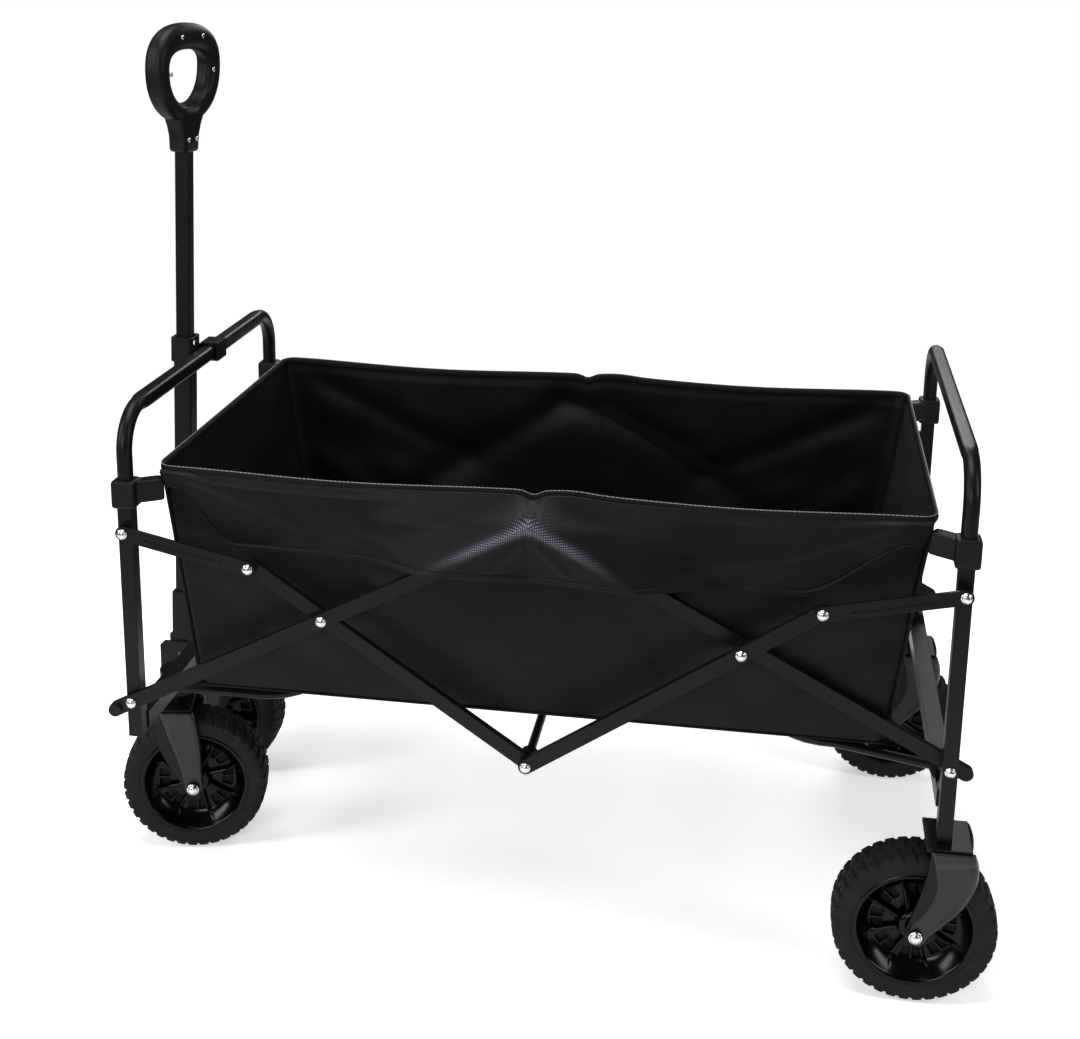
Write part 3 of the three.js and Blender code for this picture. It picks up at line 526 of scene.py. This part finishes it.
def caster_axle(side, turn):
    """The middle of a caster's wheel, which trails its upright axis."""
    return np.array([CASTER_X + TRAIL * cos(turn), side * CASTER_Y + TRAIL * sin(turn), AXLE_Z])


WHEELS = []
for side_name, side, turn in CASTERS:
    WHEELS.append((f"front_{{}}_{side_name}", f"front_wheel_{side_name}", caster_axle(side, turn), turn))
    WHEELS.append((f"rear_{{}}_{side_name}", f"rear_wheel_{side_name}",
                   np.array([REAR_X, side * REAR_Y, AXLE_Z]), 0.0))

band = tyre_surface()
for pattern, body, centre, turn in WHEELS:
    tyre = mesh_object(pattern.format("block_tyre"), placed(band, centre, turn),
                       grid_faces(*band.shape[:2], wrap_rows=True, wrap_columns=True), rubber)
    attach(tyre, body)
    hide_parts(pattern.format("tyre"))

# ---------------------------------------------------------------------------
# Rims: glossy black injection mouldings with a deep dish on each side, thin
# ribs, and a ring of pockets that end on the middle web.
# ---------------------------------------------------------------------------
RIBS, RIM_WALL = 8, 0.0022      # the wall in metres
# radii, and places along the axle, of two closed sections
BARREL = ([62.5, 65.6, 65.6, 62.5], [-20.5, -20.5, 20.5, 20.5])
WEB = ([12.0, 50.0, 50.0, 12.0], [-0.5, -0.5, 0.5, 0.5])
# A polished mould gives sharp highlights, with a slow ripple in them.
gloss, tree, shader = new_material("glossy_black_moulding", "#040405", 0.2,
                                  Specular_IOR_Level=0.22)
place = node(tree, "ShaderNodeTexCoord")
ripple = node(tree, "ShaderNodeTexNoise", [("Vector", place, "Object")], Scale=35.0)
bump = node(tree, "ShaderNodeBump", [("Height", ripple, "Fac")], Strength=0.03, Distance=0.001)
tree.links.new(bump.outputs["Normal"], shader.inputs["Normal"])
haze = node(tree, "ShaderNodeMapRange", [("Value", ripple, "Fac")], To_Min=0.13, To_Max=0.24)
tree.links.new(haze.outputs["Result"], shader.inputs["Roughness"])


def rim_dish():
    """A disc on polar coordinates. From the flange it drops down a smooth cone
    to a flat web and rises again to the hub; eight thin ribs stand out of the
    web and run up the cone; two pockets are cut in the web between each pair."""
    r = np.concatenate([[7.0, 10, 14, 15.5], np.linspace(17, 62, 44), [62.8, 63.5, 64.2, 64.9, 65.6]])
    turns = np.linspace(0, 2 * pi, 384, endpoint=False)[:, None]
    face = 2.5 + 13 * smooth_step(-r, -17.5, -14.5) + 17.5 * np.clip((r - 46) / 17, 0, 1) ** 1.6
    face = face + 1.8 * np.exp(-((r - 64.2) / 0.7) ** 2)
    spin = turns + 0.10 * np.sin((r - 16) / 46 * pi)[None, :]
    phase = (spin / (2 * pi) * RIBS) % 1 - 0.5
    arc = np.abs(phase) * 2 * pi / RIBS * r[None, :]
    rib = np.exp(-(arc / 0.9) ** 4) * smooth_step(r, 15.5, 18)
    stand = 7 * (1 - smooth_step(r, 38, 60))
    depth = face[None, :] + stand[None, :] * rib
    points = np.stack([r[None, :] * np.cos(turns), depth, r[None, :] * np.sin(turns)], -1)
    middle = (r[:-1] + r[1:]) / 2
    around = ((turns[:, 0] + pi / 384) / (2 * pi) * RIBS + 0.5) % 1
    pair = ((around > 0.15) & (around < 0.46)) | ((around > 0.54) & (around < 0.85))
    slot = ((middle > 33) & (middle < 46))[None, :] & pair[:, None]
    return points, ~slot.reshape(-1)


def turned_section(radii, places):
    """A closed section turned round the axle."""
    turns = np.linspace(0, 2 * pi, 96, endpoint=False)[:, None]
    return np.stack([radii * np.cos(turns), places + 0 * turns, radii * np.sin(turns)], -1)


dish, kept = rim_dish()
dish_faces = grid_faces(*dish.shape[:2], wrap_rows=True)[kept]
for pattern, body, centre, turn in WHEELS:
    sides = [(placed(dish * (1, face, 1), centre, turn).reshape(-1, 3),
              dish_faces if face > 0 else dish_faces[:, ::-1]) for face in (-1, 1)]
    points, faces = joined(sides)
    rim = mesh_object(pattern.format("dished_rim"), points, faces[:, ::-1], gloss)
    thicken(rim, "wall", RIM_WALL, 1.0)
    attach(rim, body)
    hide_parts(pattern.format("rim"))
    for piece_name, section, look, smooth in (("rim_barrel", BARREL, gloss, True),
                                              ("rim_web", WEB, rubber, False)):
        band = turned_section(*np.array(section))
        made = mesh_object(pattern.format(piece_name), placed(band, centre, turn),
                           grid_faces(*band.shape[:2], True, True), look, smooth)
        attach(made, body)

# ---------------------------------------------------------------------------
# Caster axle nuts: the same bright heads on the front forks, which turn with
# each caster.
# ---------------------------------------------------------------------------
for side_name, side, turn in CASTERS:
    nuts = []
    for face in (-1, 1):
        points, faces = dome(0, face * (HUB_OUT + 0.5), 0, *AXLE_NUT, face)
        nuts.append((placed(points, caster_axle(side, turn), turn), faces))
    made = mesh_object(f"front_axle_nuts_{side_name}", *joined(nuts), zinc)
    weld(made)
    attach(made, f"caster_fork_{side_name}")

# ---------------------------------------------------------------------------
# Bag: one tub of coated polyester, sewn at the corners and hung from the frame
# by its hem. The cloth is pulled tight to the arm peaks and corners, so long
# shallow creases run between them and the walls belly out a little.
# ---------------------------------------------------------------------------
RIM_X, LOW_X, BAG_Y = 420.0, 386.0, 227.0
BAG_TOP, BAG_LOW = 546.0, 287.0
LONG_POINTS, END_POINTS, BEND_POINTS = 170, 90, 8       # along a side, an end and a corner
BAG_CLOTH, FLAP_CLOTH = 0.0016, 0.0014                  # metres
BANDS_PER_METRE = 3.14  # about what a wave texture draws at scale 1
THREAD_MM = 2.4         # the real weave is finer; this is as coarse as it needs to show

# The coated face gives soft, broad highlights over a weave and small rucks.
cloth, tree, shader = new_material("coated_black_polyester", "#0c0c0e", 0.5,
                                   Specular_IOR_Level=0.17, Sheen_Weight=0.02,
                                   Sheen_Roughness=0.4)
place = node(tree, "ShaderNodeTexCoord")
warp = node(tree, "ShaderNodeTexWave", [("Vector", place, "Object")], wave_type="BANDS",
            bands_direction="X", Scale=1000 / THREAD_MM / BANDS_PER_METRE, Distortion=0.4)
weft = node(tree, "ShaderNodeTexWave", [("Vector", place, "Object")], wave_type="BANDS",
            bands_direction="Z", Scale=1000 / THREAD_MM / BANDS_PER_METRE, Distortion=0.4)
weave = node(tree, "ShaderNodeMath", [(0, warp, "Fac"), (1, weft, "Fac")], operation="MULTIPLY")
ruck = node(tree, "ShaderNodeTexNoise", [("Vector", place, "Object")], Scale=22.0, Detail=5.0)
fine = node(tree, "ShaderNodeBump", [("Height", weave, "Value")], Strength=0.22, Distance=0.0005)
bump = node(tree, "ShaderNodeBump", [("Height", ruck, "Fac"), ("Normal", fine, "Normal")],
            Strength=0.25, Distance=0.004)
tree.links.new(bump.outputs["Normal"], shader.inputs["Normal"])
shade = node(tree, "ShaderNodeValToRGB", [("Fac", ruck, "Fac")],
             stops=[(0.25, "#090a0b"), (0.8, "#111214")])
# painted highlight: where the arms lift the flaps into ridges and a peak, a pale weave colour is laid in
# to stand for the light they catch
ridge_highlight_attribute = node(tree, "ShaderNodeAttribute", attribute_name="ridge_highlight")
painted_highlight_weave = node(tree, "ShaderNodeValToRGB", [("Fac", weave, "Value")],
                  stops=[(0.1, "#35363a"), (0.9, "#8e9094")])
mixed = node(tree, "ShaderNodeMix", data_type="RGBA")
tree.links.new(ridge_highlight_attribute.outputs["Fac"], mixed.inputs[0])
tree.links.new(shade.outputs["Color"], mixed.inputs[6])
tree.links.new(painted_highlight_weave.outputs["Color"], mixed.inputs[7])
tree.links.new(mixed.outputs[2], shader.inputs["Base Color"])
gleam = node(tree, "ShaderNodeMapRange", [("Value", ruck, "Fac")], To_Min=0.40, To_Max=0.56)
tree.links.new(gleam.outputs["Result"], shader.inputs["Roughness"])


def soft(obj, *nodes):
    """Rides on the front frame with a mesh of its own, and hides the given parts."""
    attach(obj, "front_frame")
    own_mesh(obj)
    if nodes:
        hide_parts(*nodes)


def crease(x, z, x0, z0, x1, z1, width, height):
    """A ridge along the line between two points: a bell across it, fading out
    at both of its ends."""
    dx, dz = x1 - x0, z1 - z0
    length = np.hypot(dx, dz)
    along = ((x - x0) * dx + (z - z0) * dz) / length ** 2
    off = ((x - x0) * dz - (z - z0) * dx) / length
    fade = smooth_step(along, -0.02, 0.15) * (1 - smooth_step(along, 0.8, 1.02))
    return height * np.exp(-(off / width) ** 2) * fade


def wrinkle(x, z, seed):
    """Small rucks: a sum of slow waves whose directions and phases come from a
    seeded draw, weaker towards high frequency."""
    draw = np.random.default_rng(seed)
    total = 0
    for _ in range(9):
        angle, phase = draw.uniform(0, pi), draw.uniform(0, 2 * pi)
        length = 55 + 190 * draw.random()
        wave = np.sin((x * np.cos(angle) + z * np.sin(angle)) * 2 * pi / length + phase)
        total = total + wave * length / 240
    return total / 4


def rim_line(t):
    """Height of the hem round the bag: level ends, and long sides that dip a
    little between the corners and the peak at the middle, where they are pinched."""
    pinch = 2.5 * np.exp(-((t * RIM_X - 42) / 26) ** 2) - 5 * np.exp(-(t * RIM_X / 9) ** 2)
    return BAG_TOP - 5 * np.sin(pi * np.clip(np.abs(t), 0, 1)) ** 2 + pinch


def tub():
    """A rounded rectangle carried from the floor up to the hem. Each wall point
    is pushed in or out by a belly, by creases that fan from the arm peaks, the
    corners and the foot of the short arms, and by small rucks."""
    corner_r = 16.0
    ax, ay = RIM_X - corner_r, BAG_Y - corner_r
    quarter = (np.arange(1, BEND_POINTS) / BEND_POINTS) * pi / 2
    sx = np.linspace(-1, 1, LONG_POINTS)
    sy = np.linspace(-1, 1, END_POINTS)
    px = np.concatenate([ax * sx, ax + corner_r * np.sin(quarter), np.full(END_POINTS, RIM_X),
                         ax + corner_r * np.cos(quarter), ax * -sx,
                         -ax - corner_r * np.sin(quarter), np.full(END_POINTS, -RIM_X),
                         -ax - corner_r * np.cos(quarter)])
    py = np.concatenate([np.full(LONG_POINTS, -BAG_Y), -ay - corner_r * np.cos(quarter), ay * sy,
                         ay + corner_r * np.sin(quarter), np.full(LONG_POINTS, BAG_Y),
                         ay + corner_r * np.cos(quarter), ay * -sy,
                         -ay - corner_r * np.sin(quarter)])
    t = np.linspace(0, 1, 60)[:, None]
    scale = (LOW_X + (RIM_X - LOW_X) * t) / RIM_X
    x = px[None, :] * scale
    long_side = smooth_step(np.abs(py), BAG_Y - 12, BAG_Y - 0.5)[None, :]
    end_side = 1 - long_side
    top = rim_line(px / RIM_X)[None, :] * long_side + BAG_TOP * end_side
    z = BAG_LOW + (top - BAG_LOW) * t + 0 * x
    inner = smooth_step(RIM_X - np.abs(x), 0, 60)
    belly = 5.0 * np.sin(pi * t) ** 0.8 * inner * (1 - 0.6 * smooth_step(t, 0.5, 0.8))
    fan = 0
    for m, far in ((-1, 1.0), (1, 0.8)):
        fan = fan + crease(x, z, 0, 528, m * 300, 330, 20, 3.6 * far)
        fan = fan + crease(x, z, m * 408, 538, m * 120, 400, 16, 2.4)
        fan = fan + crease(x, z, m * 396, 430, m * 210, 300, 22, -2.6)
        fan = fan + crease(x, z, m * 20, 300, m * 330, 420, 26, -3.0 * far)
    fan = fan + crease(x, z, -60, 520, 170, 450, 14, 2.2)
    fan = fan * np.where(py > 0, 1.7, 1.0)[None, :]
    slack = wrinkle(x, z, 4) * 2.0 * np.sin(pi * np.clip(t, 0.02, 0.98))
    out_y = np.sign(py)[None, :] * (belly + fan * inner + slack) * long_side
    y = py[None, :] * (0.985 + 0.015 * t) + out_y
    ends = wrinkle(py[None, :], z, 9) * 2.5 + 4 * np.cos(pi * py[None, :] / BAG_Y / 2)
    ends = ends + crease(py[None, :], z, -200, 530, 120, 330, 12, 4)
    x = x + np.sign(px)[None, :] * ends * end_side * np.sin(pi * t) * 0.9
    hem = smooth_step(t, 0.955, 0.97) * 1.4
    y = y + np.sign(py)[None, :] * hem * long_side
    return np.stack([x, y, z], -1)


walls = tub()
shell = mesh_object("bag_walls", walls, grid_faces(*walls.shape[:2], wrap_columns=True), cloth)
thicken(shell, "cloth", BAG_CLOTH, -1.0)
soft(shell, "bag_sides_and_floor", "bag_front_panel", "bag_rear_panel")

gx, gy = np.meshgrid(np.linspace(-LOW_X - 1, LOW_X + 1, 90), np.linspace(-225, 225, 50), indexing="ij")
sag = 4 * np.cos(pi * gy / 450) * np.abs(np.sin(2 * pi * gx / 800))
base = np.stack([gx, gy, BAG_LOW + 1 - 0.4 * sag], -1)
underside = mesh_object("bag_floor_cloth", base, grid_faces(*base.shape[:2]), cloth)
thicken(underside, "cloth", FLAP_CLOTH, 0.0)
soft(underside)

# ---------------------------------------------------------------------------
# Floor mat: two stiffened pads in quilted cloth that lie on the bag's floor,
# each stitched across so that it folds in the middle.
# ---------------------------------------------------------------------------
MAT_ROWS, MAT_COLUMNS = 90, 110


def mat(x0, x1):
    """A closed pad: top and bottom sheets that meet at a rounded edge, pressed
    down along its border and along one seam across the middle."""
    u = np.linspace(-1, 1, MAT_ROWS)[:, None]
    v = np.linspace(-1, 1, MAT_COLUMNS)[None, :]
    x = (x0 + x1) / 2 + u * (x1 - x0) / 2 + 0 * v
    y = v * 214 + 0 * u
    edge = (1 - np.abs(u) ** 24) * (1 - np.abs(v) ** 30)
    seam = 1 - 0.75 * np.exp(-(u / 0.02) ** 2)
    border = 1 - 0.45 * np.exp(-((np.abs(u) - 0.91) / 0.015) ** 2)
    border = border * (1 - 0.45 * np.exp(-((np.abs(v) - 0.935) / 0.012) ** 2))
    height = 7.5 * edge ** 0.5 * seam * border
    low = np.stack([x, y, 288.6 + 0 * x], -1)
    high = np.stack([x, y, 289.0 + height + 0.5 * wrinkle(x, y, 21) * edge], -1)
    return low, high


for end_name, x0, x1 in (("front", -378.0, -3.0), ("rear", 3.0, 378.0)):
    low, high = mat(x0, x1)
    count = MAT_ROWS * MAT_COLUMNS
    last_row, last_column = MAT_ROWS - 1, MAT_COLUMNS - 1
    border = np.concatenate([np.arange(MAT_COLUMNS),
                             np.arange(1, MAT_ROWS) * MAT_COLUMNS + last_column,
                             last_row * MAT_COLUMNS + np.arange(last_column - 1, -1, -1),
                             np.arange(last_row - 1, 0, -1) * MAT_COLUMNS])
    following = np.roll(border, -1)
    skirt = np.stack([border, following, following + count, border + count], -1)
    faces = np.concatenate([grid_faces(MAT_ROWS, MAT_COLUMNS),
                            grid_faces(MAT_ROWS, MAT_COLUMNS, start=count)[:, ::-1], skirt])
    pad = mesh_object(f"floor_pad_{end_name}", np.concatenate([low.reshape(-1, 3),
                      high.reshape(-1, 3)]), faces, cloth)
    soft(pad, f"floor_mat_{end_name}")

# ---------------------------------------------------------------------------
# Outer flaps: a second layer sewn into the hem, which hangs over the tops of
# the long arms and ends in a stitched lower edge. Each arm lifts it in a long
# ridge, and it is gathered where the arms meet at the peak.
# ---------------------------------------------------------------------------
FLAP_SEAM_Z = 459.0


def flap(side):
    """A sheet on (along, down). Its lower edge is level in the middle and runs
    up to the corners. It hangs close to the wall, but near the middle the two
    long arms lift it: from the hem it slopes out to a sharp ridge over each
    arm, and below the ridges it hangs down and sinks in a little. The second
    result is a painted highlight mask: how strongly pale colour is laid on
    each point, along the ridges over the arms and on the gathered peak."""
    u = np.linspace(-1, 1, 421)[:, None]
    d = np.linspace(0, 1, 70)[None, :]
    rise_front = smooth_step(-u, 0.80, 0.985)
    rise_rear = smooth_step(u, 0.69, 0.985)
    low = FLAP_SEAM_Z - 4 * u + 66 * rise_front + 66 * rise_rear
    top = rim_line(u)
    x = u * (RIM_X - 3) * (1 - 0.02 * d)
    z = top + (low - top) * d
    arm_z = 523 - np.abs(x) * np.tan(ARM_TILT)
    lifted = smooth_step(222 - np.abs(x), 0, 112)
    above = np.clip((z - arm_z) / (top + 1 - arm_z), 0, 1)
    below = np.clip((arm_z - z) / 60, 0, 1)
    hang = 10 * np.sin(np.clip(below, 0, 1) * pi / 2) * np.clip(1 - np.abs(x) / 125, 0, 1)
    tent = np.where(z > arm_z, 232 + 37.5 * (1 - above) ** 1.15, 269.5 - hang)
    rest = 229.3 + 5 * smooth_step(d, 0, 0.16) + 2 * d
    y = rest + lifted * (tent - rest)
    fan = 0
    for m in (-1, 1):
        fan = fan + crease(x, z, m * 400, 538, m * 230, 470, 8, 2.2)
        fan = fan + crease(x, z, m * 120, 470, m * 270, 500, 9, 1.6)
        fan = fan + crease(x, z, 0, 520, m * 190, 505, 8, 2.2)
        fan = fan + crease(x, z, 0, 512, m * 50, 462, 5, 1.6)
    y = y + fan + 1.5 * wrinkle(x, z, 33 + side) * smooth_step(d, 0, 0.3)
    knot = np.exp(-np.abs(x / 12) ** 1.3 - ((z - 521) / 6.5) ** 2)
    pleat = np.sin(x * 0.7 + 0.6 * np.sin(z * 0.2)) * np.exp(-(x / 12) ** 2)
    y = y + 6 * knot + 1.0 * pleat * smooth_step(d, 0.0, 0.25) * (1 - smooth_step(d, 0.55, 0.9))
    z = z + 5 * knot * (1 - d)
    hem = 1.2 * smooth_step(d, 0.93, 0.945) - 0.9 * np.exp(-((d - 0.925) / 0.006) ** 2)
    # painted highlight mask: along the ridge over each arm and on the gathered peak
    near_ridge = np.exp(-((z - arm_z) / 5.0) ** 2) * np.exp(-((x + 8) / 82) ** 4)
    ridge_highlight = np.clip(0.95 * near_ridge + 0.9 * knot, 0, 1)
    return np.stack([x, side * (y + hem), z], -1), ridge_highlight


for side_name, side in (("near", -1), ("far", 1)):
    sheet, ridge_highlight = flap(side)
    faces = grid_faces(*sheet.shape[:2])
    outer = mesh_object(f"outer_flap_{side_name}", sheet, faces if side > 0 else faces[:, ::-1],
                        cloth)
    # the painted highlight mask, stored on each point for the cloth shader
    ridge_highlight_map = outer.data.attributes.new("ridge_highlight", "FLOAT", "POINT")
    ridge_highlight_map.data.foreach_set("value", ridge_highlight.reshape(-1))
    thicken(outer, "cloth", FLAP_CLOTH, 0.0)
    soft(outer, f"front_flap_{side_name}", f"rear_flap_{side_name}")

# ---------------------------------------------------------------------------
# Hem: a folded binding of grey-edged webbing over a cord, sewn all round the
# top edge, with a fine pale cord stitched along its crown.
# ---------------------------------------------------------------------------
RIB_MM, TWIST_MM = 2.0, 2.5
# A woven binding is matt, with fine ribs across its length.
webbing, tree, shader = new_material("grey_edged_binding", "#1d1e21", 0.66,
                                     Specular_IOR_Level=0.15)
place = node(tree, "ShaderNodeTexCoord")
rib = node(tree, "ShaderNodeTexWave", [("Vector", place, "Object")], bands_direction="X",
           Scale=1000 / RIB_MM / BANDS_PER_METRE, Distortion=0.6)
bump = node(tree, "ShaderNodeBump", [("Height", rib, "Fac")], Strength=0.5, Distance=0.0006)
tree.links.new(bump.outputs["Normal"], shader.inputs["Normal"])
shade = node(tree, "ShaderNodeValToRGB", [("Fac", rib, "Fac")],
             stops=[(0.2, "#0c0d0e"), (0.9, "#1d1e21")])
tree.links.new(shade.outputs["Color"], shader.inputs["Base Color"])


def hem_band(half_wide, half_tall, out_by, up_by):
    """An oval section carried round the hem line of the tub, moved out and up
    from it by the given amounts."""
    ring = walls[-1]
    ahead = np.roll(ring, -1, 0) - np.roll(ring, 1, 0)
    ahead = ahead / np.linalg.norm(ahead, axis=1, keepdims=True)
    out = np.stack([ahead[:, 1], -ahead[:, 0], 0 * ahead[:, 0]], -1)
    turns = np.linspace(0, 2 * pi, 12, endpoint=False)
    wide = out_by + half_wide * np.cos(turns)[None, :, None]
    tall = up_by + half_tall * np.sin(turns)[None, :, None]
    return ring[:, None, :] + out[:, None, :] * wide + np.array([0, 0, 1.0]) * tall


# Twisted cord is matt, and its strands slant.
pale_thread, tree, shader = new_material("twisted_grey_polyester_cord", "#646669", 0.6)
place = node(tree, "ShaderNodeTexCoord")
twist = node(tree, "ShaderNodeTexWave", [("Vector", place, "Object")], bands_direction="DIAGONAL",
             Scale=1000 / TWIST_MM / BANDS_PER_METRE, Distortion=0.5)
shade = node(tree, "ShaderNodeValToRGB", [("Fac", twist, "Fac")],
             stops=[(0.2, "#505255"), (0.8, "#76787b")])
tree.links.new(shade.outputs["Color"], shader.inputs["Base Color"])
bump = node(tree, "ShaderNodeBump", [("Height", twist, "Fac")], Strength=0.5, Distance=0.0005)
tree.links.new(bump.outputs["Normal"], shader.inputs["Normal"])

for piece_name, sizes, look in (("bag_hem", (2.4, 5.0, 0.0, 0.0), webbing),
                                ("hem_cord", (0.7, 0.6, 1.3, 4.7), pale_thread)):
    band_points = hem_band(*sizes)
    made = mesh_object(piece_name, band_points,
                       grid_faces(len(band_points), 12, True, True)[:, ::-1], look)
    soft(made)

# ---------------------------------------------------------------------------
# Corner seams: where the bag's end panels are sewn to its sides, the edges are
# bound over a thin cord, which stands up along each corner.
# ---------------------------------------------------------------------------
past_side, past_end = LONG_POINTS + BEND_POINTS - 1, END_POINTS + BEND_POINTS - 1
corners = np.cumsum([LONG_POINTS + BEND_POINTS // 2 - 1, past_end, past_side, past_end])
for corner_name, column in zip(("rear_near", "rear_far", "front_far", "front_near"), corners):
    spine = walls[2:-1, column]
    radius = np.full(len(spine), 2.1)
    radius[[0, -1]] = 0
    s = np.linspace(0, 2 * pi, 12, endpoint=False)[None, :]
    cord = np.stack([spine[:, :1] + np.sign(spine[:, :1]) + radius[:, None] * np.cos(s),
                     spine[:, 1:2] + np.sign(spine[:, 1:2]) + radius[:, None] * np.sin(s),
                     spine[:, 2:3] + 0 * s], -1)
    seam = mesh_object(f"corner_seam_{corner_name}", cord,
                       grid_faces(len(spine), 12, wrap_columns=True), webbing)
    weld(seam)
    soft(seam)

# ---------------------------------------------------------------------------
# Pull handle grip: a closed ring in two nylon shells, screwed together round
# the neck of the tube. The join shows as a fine groove in its edge.
# ---------------------------------------------------------------------------
LEAN, GRIP_TURN = radians(2), radians(-13)
HANDLE_X, HANDLE_Z = -488.0, 213.0


def handle_place(points):
    """From the handle's own upright line to the wagon: a small turn about the
    tube, then the lean about the pivot."""
    p = np.asarray(points, dtype=float)
    x = p[..., 0] * cos(GRIP_TURN) - p[..., 1] * sin(GRIP_TURN)
    y = p[..., 0] * sin(GRIP_TURN) + p[..., 1] * cos(GRIP_TURN)
    z = p[..., 2]
    return np.stack([HANDLE_X + x * cos(LEAN) + z * sin(LEAN), y,
                     HANDLE_Z - x * sin(LEAN) + z * cos(LEAN)], -1)


def grip_ring():
    """A rounded oval section carried round a soft-cornered loop that narrows
    to the neck. The section is thicker at the top bar and has a shallow groove
    round its middle, where the two shells meet."""
    t = np.linspace(0, 2 * pi, 160, endpoint=False)[:, None] - pi / 2
    squeeze = 1 - 0.24 * (1 - np.sin(t)) / 2
    cy = squeeze * 59 * signed_power(np.cos(t), 0.82)
    cz = 744 + 45 * signed_power(np.sin(t), 0.88)
    dy, dz = np.roll(cy, -1, 0) - np.roll(cy, 1, 0), np.roll(cz, -1, 0) - np.roll(cz, 1, 0)
    size = np.hypot(dy, dz)
    oy, oz = dz / size, -dy / size
    s = np.linspace(0, 2 * pi, 40, endpoint=False)[None, :]
    thick = 11.5 + 4.0 * smooth_step(np.sin(t), 0.2, 1.0)
    groove = 0.9 * np.exp(-(np.cos(s) / 0.08) ** 2)
    depth = 13.5 * signed_power(np.cos(s), 0.8)
    radial = (thick - groove) * signed_power(np.sin(s), 0.8)
    return np.stack([depth + 0 * t, cy + oy * radial, cz + oz * radial], -1)


loop = handle_place(grip_ring())
ring = mesh_object("grip_ring", loop, grid_faces(*loop.shape[:2], True, True), nylon)


def neck():
    """A rounded rectangle section that narrows from the ring to the tube."""
    z = np.array([653.0, 655, 672, 684, 696, 706])[:, None]
    half_y = np.array([14.0, 16, 17, 21, 27, 30])[:, None]
    half_x = np.array([11.0, 12.5, 13, 13.5, 14, 13])[:, None]
    s = np.linspace(0, 2 * pi, 48, endpoint=False)[None, :]
    body = np.stack([half_x * signed_power(np.cos(s), 0.45),
                     half_y * signed_power(np.sin(s), 0.45), z + 0 * s], -1)
    foot = body[:1] * (0.62, 0.7, 1)
    return np.concatenate([foot * (0, 0, 1), foot, body, body[-1:] * (0, 0, 1)])


collar = neck()
collar_piece = mesh_object("grip_neck", handle_place(collar),
                           grid_faces(*collar.shape[:2], wrap_columns=True), nylon)
weld(collar_piece)
for made in (ring, collar_piece):
    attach(made, "handle_upper")
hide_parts("handle_grip")

# ---------------------------------------------------------------------------
# Grip screws: small bright heads that hold the two nylon shells together.
# ---------------------------------------------------------------------------
SCREW = (2.4, 1.3)      # radius and height
screws = []
for y, z, out in ((-21, 789, 13.2), (21, 789, 13.2), (-44, 748, 13.2), (44, 748, 13.2),
                  (-8, 668, 12.8), (8, 668, 12.8)):
    points, faces = dome(0, 0, 0, *SCREW, 1)
    turned = np.stack([out + points[:, 1], y - points[:, 0], z + points[:, 2]], -1)
    screws.append((handle_place(turned), faces))
made = mesh_object("grip_screws", *joined(screws), zinc)
weld(made)
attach(made, "handle_upper")
